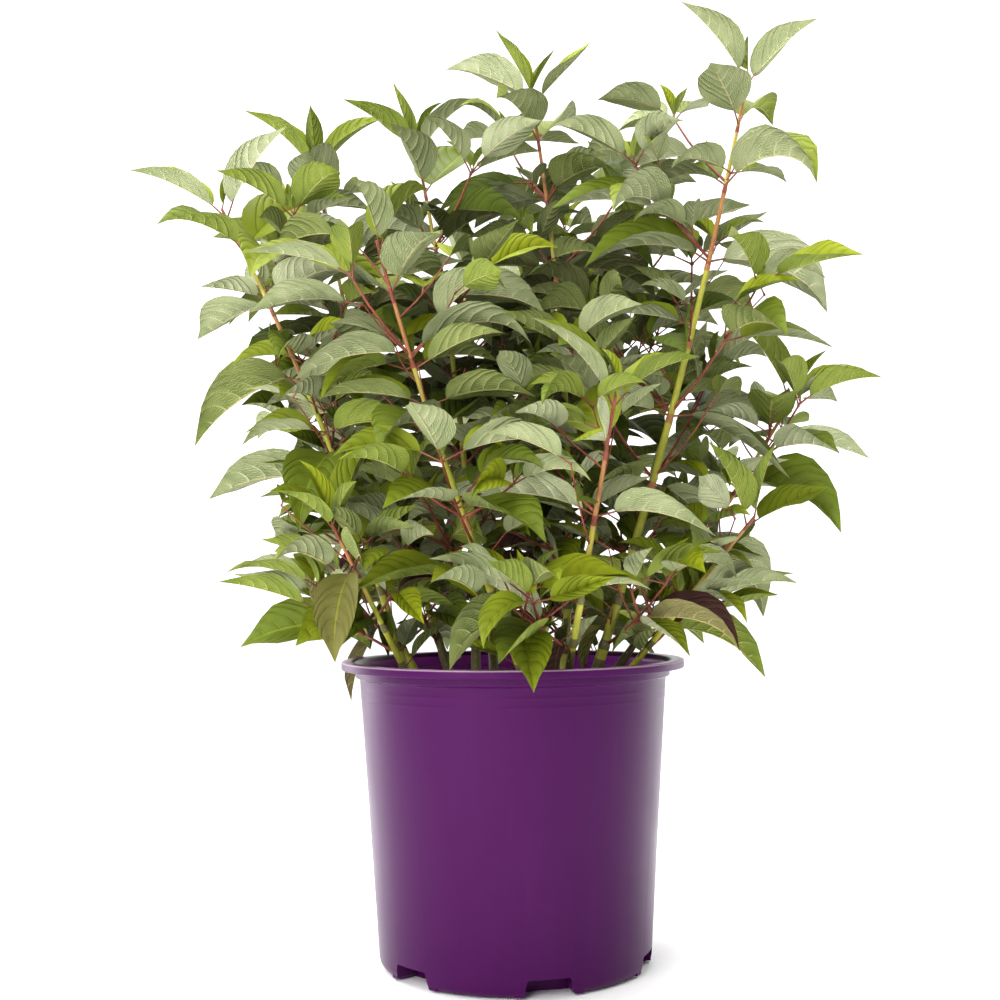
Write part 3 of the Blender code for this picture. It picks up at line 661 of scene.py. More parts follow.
class Gathered:
    """Faces of many small shapes, collected into one mesh."""

    def __init__(self):
        self.verts = []
        self.faces = []
        self.places = []
        self.tints = []
        self.count = 0

    def add(self, verts, faces, places, tints):
        """places has one (u, v) for each corner of each face; tints one number a face."""
        for face in faces:
            self.faces.append(tuple(corner + self.count for corner in face))
        self.verts.append(np.asarray(verts, dtype=float))
        self.places.append(np.asarray(places, dtype=float).reshape(-1, 2))
        self.tints += list(tints)
        self.count += len(verts)

    def mesh(self, name):
        """All of them as one smooth mesh, a tint being the number of a material."""
        mesh = bpy.data.meshes.new(name)
        mesh.from_pydata(np.concatenate(self.verts).tolist(), [], self.faces)
        layer = mesh.uv_layers.new(name="place")
        layer.data.foreach_set("uv", np.concatenate(self.places).ravel())
        mesh.polygons.foreach_set("material_index", self.tints)
        mesh.shade_smooth()
        return mesh


def tube(points, radii, sides, tint=lambda distance: 0, relief=None):
    """Vertices, faces, face places and tints of a tube with closed, pointed ends.

    tint gives a number, and relief a factor of the radius, for a distance along the tube.
    """
    verts = [tuple(points[0])]
    lengths = [0.0]
    for before, after in zip(points, points[1:]):
        lengths.append(lengths[-1] + (after - before).length)
    across = (points[1] - points[0]).orthogonal().normalized()
    for index, (point, radius) in enumerate(zip(points, radii)):
        ahead = points[min(index + 1, len(points) - 1)] - points[max(index - 1, 0)]
        ahead.normalize()
        across = (across - ahead * across.dot(ahead)).normalized()
        other = ahead.cross(across)
        for side in range(sides):
            turn = 2.0 * math.pi * side / sides
            out = across * math.cos(turn) + other * math.sin(turn)
            grown_by = relief(lengths[index], turn) if relief else 1.0
            verts.append(tuple(point + out * radius * grown_by))
    verts.append(tuple(points[-1] + (points[-1] - points[-2]).normalized() * radii[-1]))
    faces = []
    places = []
    tints = []
    last = len(verts) - 1
    rings = len(points)
    for side in range(sides):
        following = (side + 1) % sides
        faces.append((0, 1 + following, 1 + side))
        places += [(0.5, 0.0), ((side + 1) / sides, 0.0), (side / sides, 0.0)]
        tints.append(tint(0.0))
        for ring in range(rings - 1):
            low = 1 + ring * sides
            faces.append((low + side, low + following, low + sides + following, low + sides + side))
            places += [
                (side / sides, lengths[ring]),
                ((side + 1) / sides, lengths[ring]),
                ((side + 1) / sides, lengths[ring + 1]),
                (side / sides, lengths[ring + 1]),
            ]
            tints.append(tint(lengths[ring]))
        top = 1 + (rings - 1) * sides
        faces.append((top + side, top + following, last))
        end = lengths[-1]
        places += [(side / sides, end), ((side + 1) / sides, end), (0.5, end)]
        tints.append(tint(end))
    return verts, faces, places, tints


def node_heights(cane):
    """Distances of the leaf pairs from a cane's foot, over its whole length."""
    length = line_length(cane_line(cane))
    heights = [length - down for down in pair_distances(length - CANE_LEAFLESS)]
    lowest = min(heights)
    while lowest > LOWEST_PAIR:
        lowest -= LOW_PAIR_STEP
        heights.append(lowest)
    return sorted(heights)


def grow_cane(number, cane, gathered):
    """A cane's bark, with its colours from the tip down and its swollen leaf pairs."""
    rng = random.Random(BARK_SEED + number)
    line = cane_line(cane)
    length = line_length(line)
    heights = node_heights(cane)
    upper = ["red", "flushed", "gold", "flushed", "green"]
    if rng.random() < 0.4:
        upper = ["red", "red", "flushed", "gold", "green"]
    names = list(BARK_TINTS)

    def tint(distance):
        above = sum(1 for height in heights if height > distance)
        if distance < GREEN_BELOW:
            above = len(upper)
        if distance < BROWN_BELOW + BROWN_STEP * (number % 3):
            return names.index("foot")
        if above > 1 and min(abs(distance - height) for height in heights) < BLUSH:
            high = "flushed" if above > 3 else "red"
            return names.index("foot" if distance < BLUSH_BROWN else high)
        return names.index(upper[above] if above < len(upper) else "green")

    def relief(distance, turn):
        past = [distance - height for height in heights]
        swell = sum(math.exp(-((off / NODE_HALF) ** 2)) for off in past)
        scar = sum(math.exp(-(((off - SCAR_OFF) / SCAR_HALF) ** 2)) for off in past)
        grain = noise.noise(Vector((math.cos(turn), math.sin(turn), distance * 120.0 + number)))
        return 1.0 + NODE_SWELL * swell - SCAR_DEPTH * scar + GRAIN_DEPTH * grain

    points = [Vector((*cane.foot, MIX_TOP - CANE_SUNK))]
    radii = [cane.radius + FOOT_SWELL]
    rings = int(length / CANE_RING)
    for index in range(rings + 1):
        distance = length * index / rings
        points.append(point_along(line, distance)[0])
        radii.append(cane_radius(cane, distance / length))
    gathered.add(*tube(points, radii, CANE_STEPS, tint, relief))


bark = Gathered()
for number, cane in enumerate(CANES.values()):
    grow_cane(number, cane, bark)
bark_surfaces = [bark_surface("bark " + name, tints) for name, tints in BARK_TINTS.items()]
canes = add_object("canes", bark.mesh("canes"), *bark_surfaces)
bare_canes = ["cane_" + name for name in CANES]
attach(canes, "root")
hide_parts(*bare_canes)


# ---- The twigs -----------------------------------------------------------------------
# Side shoots from the leaf axils of every crown, and sprays that stand off the bare
# canes. They grow by the same seeded rule as the solids, each clear of the others.
CANE_SIDES = 6
CANE_SEED = 100
CROWN_RINGS = 8
CROWN_STEM_SHARE = 1.15     # radius of the stem inside a crown over the cane's own
PAIR_TURN = 66.0            # degrees from one pair to the next below it
CROWN_BARE = 0.012          # no leaf pair on the lowest part of a crown
CROWN_LEAVES = (            # blade, rise and fall in degrees, from the topmost pair down
    (0.070, 56, 26),
    (0.084, 42, 0),
    (0.092, 30, -32),
    (0.096, 22, -46),
    (0.092, 14, -54),
    (0.086, 8, -58),
    (0.078, 0, -62),
)
SHOOT_LEAVES = (
    (0.066, 36, -6),
    (0.082, 20, -34),
    (0.086, 8, -52),
    (0.080, 0, -60),
)
TWIG_SIDES = 3
TWIG_RADIUS = 0.0017
TWIG_TIP_RADIUS = 0.0014
TWIG_STEPS = 3
TWIG_SWINGS = 6             # tries at another course
TWIG_SWAY = 7.0             # degrees
TWIG_PUSHES = 24            # tries to seat a spray's stem against its bough
PUSH = 0.00015
AXIL = 0.0030               # a side shoot leaves its stem this far above the leaf
STEM_INSIDE = 0.008         # a fork's first stretch, which may lie inside its stem
SHOOT_FROM_RANK = 2         # the topmost pairs carry no side shoots
SHOOTLESS = 0.45            # share of the other leaves that have none either
SHOOT_REACH = (0.045, 0.062)
SHOOT_REACH_STEP = 0.012    # longer by this with every pair down the cane
SHOOT_SLOPES = (42, 58)
SHOOT_TIP = 0.003
SHOOT_BARE = 0.022
SHOOT_PAIR_STEP = 0.040
SHOOT_PAIR_GROWTH = 0.008
SHOOT_PAIR_TURN = 35.0
SPRAY_START = 0.034         # height of the lowest spray above the mix
SPRAY_END = 0.012           # none nearer to the bough's upper end
SPRAYS = 3                  # at most, on one bough
SPRAY_TURN = (45.0, 100.0)
SPRAY_OFF = 0.7             # of the bough's radius
SPRAY_REACH = (0.055, 0.080)
SPRAY_REACH_SLOPE = 0.36
SPRAY_RISE = (14.0, 30.0)
SPRAY_LIFT = 18.0
SPRAY_STEP = (0.040, 0.055)
FORK_PLACE = (0.35, 0.50)
FORK_TURN = (40.0, 60.0)
FORK_SLOPES = (20, 36)
FORK_SHARE = 0.5
Twig = namedtuple("Twig", "mass points radii")
Seat = namedtuple("Seat", "mass place axis heading table rank")


def shell_tree(points, radii, sides, room=0.0):
    """A search tree for a tube, wider by room."""
    verts = []
    faces = []
    for index, (point, radius) in enumerate(zip(points, radii)):
        ahead = points[min(index + 1, len(points) - 1)]
        behind = points[max(index - 1, 0)]
        across = (ahead - behind).orthogonal().normalized()
        turn = Quaternion(ahead - behind, 2.0 * math.pi / sides)
        for _ in range(sides):
            verts.append(point + across * (radius + room))
            across = turn @ across
    for ring in range(len(points) - 1):
        for side in range(sides):
            low = ring * sides + side
            low_next = ring * sides + (side + 1) % sides
            faces.append((low, low_next, low_next + sides, low + sides))
    return BVHTree.FromPolygons(verts, faces)


class Places:
    """Everything placed so far, to find room for the next twig or leaf."""

    def __init__(self):
        self.solids = []

    def add(self, mass, points, tree):
        middle = sum(points, Vector()) / len(points)
        radius = max((point - middle).length for point in points)
        self.solids.append((mass, middle, radius, tree))

    def add_mesh(self, obj):
        points = [vert.co.copy() for vert in obj.data.vertices]
        faces = [tuple(face.vertices) for face in obj.data.polygons]
        self.add(obj.name, points, BVHTree.FromPolygons(points, faces))

    def meets(self, points, tree, wanted=lambda mass: True):
        """Whether the shape touches anything of a mass that is wanted."""
        middle = sum(points, Vector()) / len(points)
        radius = max((point - middle).length for point in points)
        for mass, centre, reach, other in self.solids:
            if (middle - centre).length > radius + reach or not wanted(mass):
                continue
            if other.overlap(tree):
                return True
        return False


def turned(heading, degrees):
    return Quaternion(UP, math.radians(degrees)) @ heading


def shoot_points(start, heading, rise, fall, length):
    """A side shoot that leaves at one slope and bends evenly to another."""
    points = [start.copy()]
    step = length / TWIG_STEPS
    for index in range(TWIG_STEPS):
        slope = math.radians(rise + (fall - rise) * (index + 0.5) / TWIG_STEPS)
        direction = heading * math.cos(slope) + UP * math.sin(slope)
        points.append(points[-1] + direction * step)
    return points


def try_twig(places, mass, start, heading, slopes, length, rng, skip=0.0):
    """A side shoot clear of every other mass's wood, as near to its start as fits, or None.

    The first stretch, skip long, lies inside the mass's own stem and isn't tested.
    """
    radii = [
        TWIG_RADIUS + (TWIG_TIP_RADIUS - TWIG_RADIUS) * index / TWIG_STEPS
        for index in range(TWIG_STEPS + 1)
    ]
    for attempt in range(TWIG_SWINGS):
        course = turned(heading, rng.gauss(0.0, TWIG_SWAY) * (1.0 + attempt))
        for push in range(TWIG_PUSHES):
            foot = start if skip else start + course * push * PUSH
            points = shoot_points(foot, course, *slopes, length)
            first = point_along(points, skip)[0]
            tree = shell_tree([first] + points[1:], radii, TWIG_SIDES * 2, GAP)
            if places.meets(points, tree, lambda other: other != mass):
                continue
            places.add(mass, points, shell_tree(points, radii, TWIG_SIDES * 2))
            return Twig(mass, points, radii)
    return None


def crown_stem(name, cane, places):
    """The cane's own wood inside its crown, a hair beyond the bough's end."""
    line = cane_line(cane)
    length = line_length(line)
    bare = length - cane.crown + GAP * 2.0
    points = []
    radii = []
    for index in range(CROWN_RINGS):
        distance = bare + (length - bare) * index / (CROWN_RINGS - 1)
        points.append(point_along(line, distance)[0])
        radii.append(cane_radius(cane, distance / length) * CROWN_STEM_SHARE)
    stem = Twig("crown_" + name, points, radii)
    places.add(stem.mass, points, shell_tree(points, radii, CANE_SIDES))
    return stem


def grow_crown_twigs(name, cane, places, rng):
    """The stem of a crown and its side shoots, and where their leaf pairs sit."""
    stem = crown_stem(name, cane, places)
    twigs = [stem]
    seats = []
    length = line_length(stem.points)
    for rank, down in enumerate(pair_distances(cane.crown - CROWN_BARE)):
        place, direction = point_along(stem.points, length - down)
        spread = turned(Vector((1.0, 0.0, 0.0)), cane.turn + PAIR_TURN * rank)
        for side in (1.0, -1.0):
            seats.append(Seat(stem.mass, place, direction, spread * side, CROWN_LEAVES, rank))
            if rank < SHOOT_FROM_RANK or rng.random() < SHOOTLESS:
                continue
            reach = rng.uniform(*SHOOT_REACH) + SHOOT_REACH_STEP * rank
            axil = place + direction * AXIL
            course = spread * side
            twig = try_twig(places, stem.mass, axil, course, SHOOT_SLOPES, reach, rng, STEM_INSIDE)
            if twig:
                twigs.append(twig)
                seats += shoot_seats(twig, course)
    return twigs, seats


def shoot_seats(twig, heading):
    """Leaf pairs along a side shoot, each turned a quarter against the last, and its end."""
    length = line_length(twig.points)
    seats = []
    rank = 0
    down = SHOOT_TIP
    while length - down > SHOOT_BARE:
        place, _ = point_along(twig.points, length - down)
        level = heading.cross(UP) if rank % 2 == 0 else heading
        for side in (1.0, -1.0):
            lean = level * side if rank % 2 == 0 else turned(heading, SHOOT_PAIR_TURN * side)
            seats.append(Seat(twig.mass, place, UP, lean.normalized(), SHOOT_LEAVES, rank))
        rank += 1
        down += SHOOT_PAIR_STEP + SHOOT_PAIR_GROWTH * rank
    end, _ = point_along(twig.points, length - TWIG_TIP_RADIUS)
    seats.append(Seat(twig.mass, end, UP, heading, SHOOT_LEAVES, 0))
    return seats


def grow_spray_twigs(name, cane, places, rng):
    """Up to three sprays that stand off the bare bough, low to high."""
    line = cane_line(cane)
    bare = line_length(line) - cane.crown
    outward = Vector((cane.tip[0] - cane.foot[0], cane.tip[1] - cane.foot[1], 0.0)).normalized()
    twigs = []
    seats = []
    count = 0
    turn = rng.choice((-1.0, 1.0))
    height = SPRAY_START
    while height < bare - SPRAY_END and count < SPRAYS:
        place, _ = point_along(line, height)
        mass = "spray_" + name + str(count + 1)
        heading = turned(outward, turn * rng.uniform(*SPRAY_TURN))
        off = SPRAY_OFF * cane_radius(cane, height / line_length(line))
        reach = rng.uniform(*SPRAY_REACH) + SPRAY_REACH_SLOPE * height
        rise = rng.uniform(*SPRAY_RISE)
        start = place + heading * off
        twig = try_twig(places, mass, start, heading, (rise, rise + SPRAY_LIFT), reach, rng)
        turn = -turn
        height += rng.uniform(*SPRAY_STEP)
        if twig is None:
            continue
        count += 1
        twigs.append(twig)
        seats += shoot_seats(twig, heading)
        for side in (1.0, -1.0):
            fork = point_along(twig.points, reach * rng.uniform(*FORK_PLACE))[0]
            across = turned(heading, side * rng.uniform(*FORK_TURN))
            small = try_twig(
                places, mass, fork, across, FORK_SLOPES, reach * FORK_SHARE, rng, STEM_INSIDE
            )
            if small:
                twigs.append(small)
                seats += shoot_seats(small, across)
    return twigs, seats


places = Places()
for name in ["pot", "potting_mix"] + bare_canes:
    places.add_mesh(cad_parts[name])
twigs = []
seats = []
for number, (name, cane) in enumerate(CANES.items()):
    rng = random.Random(CANE_SEED + number)
    for grow in (grow_crown_twigs, grow_spray_twigs):
        more_twigs, more_seats = grow(name, cane, places, rng)
        twigs += more_twigs
        seats += more_seats


# ---- The leaves ----------------------------------------------------------------------
# Opposite leaves on red stalks. A blade is oval and drawn out to a point, folded up
# along its midrib, with five to seven arching veins a side; the upper side is a fresh
# yellow-green and the underside a pale grey-green with a raised net.
LEAF_ASPECT = 0.58          # width over length of a blade
LEAF_WIDEST = 0.42          # place of the widest part along the blade
LEAF_THICKNESS = 0.0170     # of the blade's length
LEAF_STEPS = 8
LEAF_SUNK = 0.0007          # a leaf's foot lies this far behind the middle of its twig
LEAF_SEED = 1000
LEAF_TRIES = 9
LOOSER = 0.35               # added to the sway with every try
SMALLER = 0.03              # taken off the leaf with every try
LEAN_SHARE = 0.7            # part of its twig's lean that a leaf's slope takes over
LEAF_CLEAR = 0.0006         # room kept round a leaf while it looks for a place
BLADE_FROM = 0.25           # nearer to its foot a leaf may touch its own mass
PETIOLE = (0.011, 0.018)
LEAF_USUAL = 0.07           # length of the blade that has such a stalk
BLADE_SHARE = (0.86, 1.08)
HEADING_SWAY = 9.0          # the usual difference from the table, in degrees
RISE_SWAY = 8.0
FALL_SWAY = 11.0
ROLL_SWAY = 14.0
Leaf = namedtuple("Leaf", "mass foot heading rise fall roll petiole blade")
# places of a blade's rows of points along it, and its width there over its widest
LEAF_ROWS = np.array([0.0, 0.02, 0.07, 0.14, 0.23, 0.34, 0.46, 0.59, 0.72, 0.86, 1.0])
LEAF_WIDTHS = np.array([0.0, 0.25, 0.54, 0.77, 0.93, 1.0, 0.98, 0.85, 0.60, 0.24, 0.0])
LEAF_COLUMNS = (-1.0, -0.5, 0.0, 0.5, 1.0)
BEND_STEPS = 36             # in which a blade's midrib is bent
TRUE_ASPECT = 0.60
BLADE_THICKNESS = 0.00035
BLADE_SHARP = 75.0          # degrees between faces from which an edge is drawn sharp
BLADE_SEED = 5000
STALK_RADIUS = 0.00085
STALK_STEPS = 5
HALF_SHADED = 0.115         # metres below the crown's outer surface, from which a leaf gets painted shade
SHADED = 0.160
AGED_BELOW = 0.290          # old leaves, in one of 25 seats, are no higher than this
WINE_BELOW = 0.360
STALK_TINTS = ((0.120, 0.030, 0.020), (0.230, 0.078, 0.040))
VEIN_PAIRS = 6.5
VEIN_SWEEP = 0.48           # how far a side vein runs towards the tip, of the blade
CROSS_VEINS = 11.0
# the shade colours are painted shade for leaves deep in the crown; deep is a darker green and also
# serves as painted shade
TOP_TINTS = {
    "spring": (0.215, 0.252, 0.008),
    "fresh": (0.152, 0.188, 0.008),
    "full": (0.104, 0.140, 0.009),
    "deep": (0.064, 0.090, 0.009),
    "shade": (0.040, 0.054, 0.008),
    "aged": (0.125, 0.118, 0.028),
    "wine": (0.060, 0.022, 0.020),
}
UNDER_TINTS = {
    "pale": (0.462, 0.476, 0.290),
    "grey": (0.332, 0.352, 0.184),
    "sage": (0.228, 0.256, 0.078),
    "young": (0.225, 0.270, 0.040),
    "shade": (0.140, 0.148, 0.050),
    "dull": (0.270, 0.228, 0.088),
}
YOUNG_LEAVES = ((0.053, 74, 48),)
YOUNG_SEED = 9000
YOUNG_TRIES = 4
YOUNG_ON_STEM = (0.75, 1.05)           # size of a young leaf over the table's
YOUNG_ON_SHOOT = (0.45, 0.75)
YOUNG_STALK = 0.0060
LOW_SEED = 9500
LOW_TRIES = 24
LOW_STALK = 0.012
LOW_LEAVES = (     # cane, height on it, way in degrees, blade, rise, fall, top, underside
    ("n", 0.100, 240.0, 0.086, -46, -92, "aged", "dull"),
    ("a", 0.066, 250.0, 0.050, -46, -92, "deep", "dull"),
    ("l", 0.040, 200.0, 0.050, -46, -92, "wine", "dull"),
    ("e", 0.046, 250.0, 0.052, -46, -92, "aged", "dull"),
    ("j", 0.060, 150.0, 0.080, -46, -92, "aged", "dull"),
    ("k", 0.050, 70.0, 0.070, -46, -92, "wine", "dull"),
    ("a", 0.020, 300.0, 0.040, 58, 20, "full", "grey"),
    ("n", 0.016, 30.0, 0.042, 66, 30, "full", "sage"),
    ("b", 0.018, 190.0, 0.044, 40, 0, "fresh", "young"),
    ("b", 0.024, 20.0, 0.038, 50, 16, "full", "grey"),
    ("c", 0.022, 240.0, 0.044, 52, 10, "full", "sage"),
    ("d", 0.022, 280.0, 0.046, 44, 6, "deep", "sage"),
    ("l", 0.018, 330.0, 0.036, 60, 26, "full", "grey"),
    ("e", 0.020, 190.0, 0.040, 55, 16, "full", "sage"),
    ("m", 0.018, 250.0, 0.036, 62, 30, "deep", "sage"),
    ("i", 0.022, 300.0, 0.042, 48, 12, "full", "grey"),
    ("f", 0.024, 200.0, 0.046, 50, 10, "deep", "sage"),
)
OPEN_SEED = 7000            # of the leaves at seats that the solids leave empty
OPEN_TRIES = 6
FILL_CLEAR = 0.016          # a fill-in leaf's tip stays this far above the mix
FRONT_CANES = "be"          # these show bare in front, so no fill-in leaf hides them
HIDING = 0.020              # room on each side of a front cane
FINE_RADII = (0.0008, 0.0005)          # of a fine shoot, at its start and its end
FINE_STEPS = (0.016, 0.030)            # from one fine shoot on a bare cane to the next
FINE_FROM = 0.034           # height of the lowest above the mix, less the kind's own depth
FINE_STEM = 0.007           # its first stretch, which may lie inside its stem
# share of the seats with such a shoot, part of the crown whose stem has none, length of
# a shoot, its leaves, and how deep in the crown their tips are at least and how high at most
Shoots = namedtuple("Shoots", "share bare reach leaves covered highest")
FINE = Shoots(
    0.55, 1.0, (0.016, 0.040), ((0.040, 46, 14), (0.052, 30, -14), (0.058, 18, -34)), 0.012, 0.64
)
INNER = Shoots(
    0.95, 0.25, (0.030, 0.080), ((0.056, 36, 0), (0.070, 22, -24), (0.074, 12, -40)), 0.040, 0.57
)
WOOD_RADII = (0.0013, 0.0008)          # of a side shoot
WOOD_STEM = 0.010           # its first stretch, where a blade may touch it
FINE_SEED = 31
INNER_SEED = 37


def leaf_template():
    """A three-sided ball with one ring: the foot, the widest part and the tip."""
    bm = bmesh.new()
    bmesh.ops.create_uvsphere(bm, u_segments=3, v_segments=2, radius=1.0)
    bmesh.ops.triangulate(bm, faces=bm.faces)
    bm.verts.index_update()
    verts = [vert.co.copy() for vert in bm.verts]
    faces = [tuple(vert.index for vert in face.verts) for face in bm.faces]
    bm.free()
    return verts, faces


def leaf_frame(leaf, distance):
    """Place, side and normal of the leaf's midrib at a distance from its foot."""
    point = leaf.foot.copy()
    total = leaf.petiole + leaf.blade
    for index in range(LEAF_STEPS):
        along = distance * (index + 0.5) / LEAF_STEPS
        point += leaf_slope(leaf, along) * (distance / LEAF_STEPS)
    tangent = leaf_slope(leaf, min(distance, total))
    side = UP.cross(leaf.heading).normalized()
    side.rotate(Quaternion(tangent, leaf.roll))
    return point, side, tangent.cross(side).normalized()


def leaf_slope(leaf, distance):
    """Direction of the midrib: straight along the stalk, then bending down the blade."""
    share = min(1.0, max(0.0, (distance - leaf.petiole) / leaf.blade))
    slope = leaf.rise + (leaf.fall - leaf.rise) * share
    return leaf.heading * math.cos(slope) + UP * math.sin(slope)


def leaf_points(leaf, template, room=0.0, from_share=0.0):
    """The template's points moved to the leaf's foot, widest part and tip.

    The ring has one point under the midrib and one on each edge of the leaf.
    """
    widest = leaf.petiole + LEAF_WIDEST * leaf.blade
    half_width = LEAF_ASPECT * leaf.blade / 2.0 + room
    foot = leaf_frame(leaf, from_share * widest)
    middle, side, normal = leaf_frame(leaf, widest)
    tip = leaf_frame(leaf, leaf.petiole + leaf.blade + room)
    moved = []
    for co in template:
        if co.z > 0.5:
            moved.append(tip[0])
        elif co.z < -0.5:
            moved.append(foot[0])
        elif co.x > 0.5:
            moved.append(middle - normal * (LEAF_THICKNESS * leaf.blade + room))
        else:
            across = math.copysign(half_width, co.y)
            moved.append(middle + side * across + normal * room)
    return moved


def seat_leaf(seat):
    """Blade length and the two slopes, in degrees, of the leaf that a seat carries."""
    size, rise, fall = seat.table[min(seat.rank, len(seat.table) - 1)]
    lean = LEAN_SHARE * math.degrees(math.asin(seat.axis.dot(seat.heading)))
    return size, rise - lean, fall - lean


def posed_leaf(seat, rng, attempt):
    """A leaf at a seat, in a posture that is the freer the later the attempt."""
    size, rise, fall = seat_leaf(seat)
    loose = 1.0 + LOOSER * attempt
    shrink = 1.0 - SMALLER * attempt
    return Leaf(
        mass=seat.mass,
        foot=seat.place,
        heading=turned(seat.heading, rng.gauss(0.0, HEADING_SWAY) * loose),
        rise=math.radians(rise + rng.gauss(0.0, RISE_SWAY) * loose),
        fall=math.radians(fall + rng.gauss(0.0, FALL_SWAY) * loose),
        roll=math.radians(rng.gauss(0.0, ROLL_SWAY) * loose),
        petiole=rng.uniform(*PETIOLE) * shrink,
        blade=size * rng.uniform(*BLADE_SHARE) * shrink,
    )


def try_leaf(places, seat, rng, template):
    """A leaf in the first posture that touches nothing, or None where there is no room."""
    verts, faces = template
    for attempt in range(LEAF_TRIES):
        sunk = seat.heading * LEAF_SUNK - UP * rng.uniform(-0.5, 0.5) * LEAF_SUNK
        leaf = posed_leaf(seat, rng, attempt)._replace(foot=seat.place - sunk)
        if has_room(places, leaf, verts, faces):
            points = leaf_points(leaf, verts)
            places.add(leaf.mass, points, BVHTree.FromPolygons(points, faces))
            return leaf
    return None


def has_room(places, leaf, verts, faces):
    """Whether a leaf is clear of the other masses, and its blade of its own as well."""
    whole = leaf_points(leaf, verts, room=LEAF_CLEAR)
    tree = BVHTree.FromPolygons(whole, faces)
    if places.meets(whole, tree, lambda mass: mass != leaf.mass):
        return False
    blade = leaf_points(leaf, verts, room=LEAF_CLEAR, from_share=BLADE_FROM)
    tree = BVHTree.FromPolygons(blade, faces)
    return not places.meets(blade, tree, lambda mass: mass == leaf.mass)


template = leaf_template()
order = sorted(range(len(seats)), key=lambda number: -seat_leaf(seats[number])[0])
leaves = []
for number in order:
    leaf = try_leaf(places, seats[number], random.Random(LEAF_SEED + number), template)
    if leaf:
        leaves.append((number, leaf))


def vein_masks(tree):
    """How much of a midrib, a side vein, a cross vein and the swell between the veins."""
    around = add_node(tree, "UVMap").outputs[0]
    apart = add_node(tree, "SeparateXYZ", {0: around})
    off = math_node(tree, "ABSOLUTE", minus(tree, apart.outputs[0], 0.5))
    across = times(tree, off, 2.0)
    along = apart.outputs[1]
    bend = times(tree, math_node(tree, "POWER", across, 1.6), VEIN_SWEEP)
    run = math_node(tree, "MAXIMUM", minus(tree, along, bend), 0.0)
    share = math_node(tree, "DIVIDE", run, minus(tree, 1.0, bend))
    order = times(tree, math_node(tree, "POWER", share, 0.9), VEIN_PAIRS)
    open_part = times(
        tree, ranged(tree, along, 0.04, 0.14), ranged(tree, along, 0.74, 0.93, 1.0, 0.0)
    )
    open_part = times(tree, open_part, ranged(tree, order, 0.10, 0.45))
    near = times(tree, from_line(tree, order), open_part)
    side = ranged(tree, near, 0.84, 0.985)
    middle = ranged(tree, across, 0.030, 0.075, 1.0, 0.0)
    swell = minus(tree, 1.0, math_node(tree, "POWER", near, 2.0))
    place = object_place(tree)
    strayed = times(tree, noise_node(tree, place, 260.0, 2.0), 2.2)
    rungs = times(tree, across, CROSS_VEINS)
    rungs = plus(tree, minus(tree, rungs, order), strayed)
    net = ranged(tree, from_line(tree, rungs), 0.55, 0.95)
    net = times(tree, net, ranged(tree, along, 0.60, 0.82, 1.0, 0.0))
    return middle, side, swell, net


def from_line(tree, value):
    """One on the lines where the value is a whole number, nought halfway between them."""
    beat = minus(tree, math_node(tree, "FRACT", value), 0.5)
    return times(tree, math_node(tree, "ABSOLUTE", beat), 2.0)


def top_surface(name, tint):
    """The upper side: waxy green, the veins sunk between soft swellings."""
    made, tree, shader = new_surface("leaf top " + name, 0.5, 0.12)
    middle, side, swell, net = vein_masks(tree)
    place = object_place(tree)
    cloud = noise_node(tree, place, 38.0, 3.0)
    pale = tuple(1.35 * value + 0.003 for value in tint)
    deep = tuple(0.70 * value for value in tint)
    base = mixed(tree, ranged(tree, cloud, 0.35, 0.65), colour(deep), colour(tint))
    # painted highlight: paler towards the middle of each swelling between the veins
    base = mixed(tree, times(tree, swell, 0.35), base, colour(pale))
    veined = math_node(tree, "MAXIMUM", middle, times(tree, side, 0.6))
    vein = (0.09 + tint[0] * 1.2, 0.12 + tint[1] * 1.1, 0.022, 1.0)
    base = mixed(tree, times(tree, veined, 0.55), base, vein)
    roughness = ranged(tree, cloud, 0.3, 0.7, 0.44, 0.56)
    relief = minus(tree, swell, times(tree, veined, 0.35))
    relief = minus(tree, relief, times(tree, net, 0.10))
    finish_surface(tree, shader, base, roughness, relief, 0.0008, 0.9)
    return made


def under_surface(name, tint):
    """The underside: matt and pale, the veins and their net standing out."""
    made, tree, shader = new_surface("leaf underside " + name, 0.75, 0.07)
    middle, side, swell, net = vein_masks(tree)
    place = object_place(tree)
    cloud = noise_node(tree, place, 45.0, 3.0)
    deep = (tint[0] * 0.54, tint[1] * 0.61, tint[2] * 0.50, 1.0)
    pale = tuple(min(1.0, value * 1.40 + 0.07) for value in tint)
    base = mixed(tree, ranged(tree, cloud, 0.35, 0.65), deep, colour(tint))
    # painted shade: darker towards the middle of each hollow between the veins
    base = mixed(tree, times(tree, swell, 0.50), base, deep)
    base = mixed(tree, times(tree, net, 0.62), base, colour(pale))
    base = mixed(tree, times(tree, side, 0.90), base, colour(pale))
    rib = (tint[0] * 0.8 + 0.22, tint[1] * 0.7 + 0.20, tint[2] * 0.8 + 0.08, 1.0)
    base = mixed(tree, times(tree, middle, 0.85), base, rib)
    roughness = ranged(tree, cloud, 0.3, 0.7, 0.68, 0.84)
    relief = plus(tree, times(tree, net, 0.34), side)
    relief = plus(tree, times(tree, relief, 0.42), middle)
    relief = minus(tree, relief, times(tree, swell, 0.9))
    finish_surface(tree, shader, base, roughness, relief, 0.0011, 1.0)
    return made


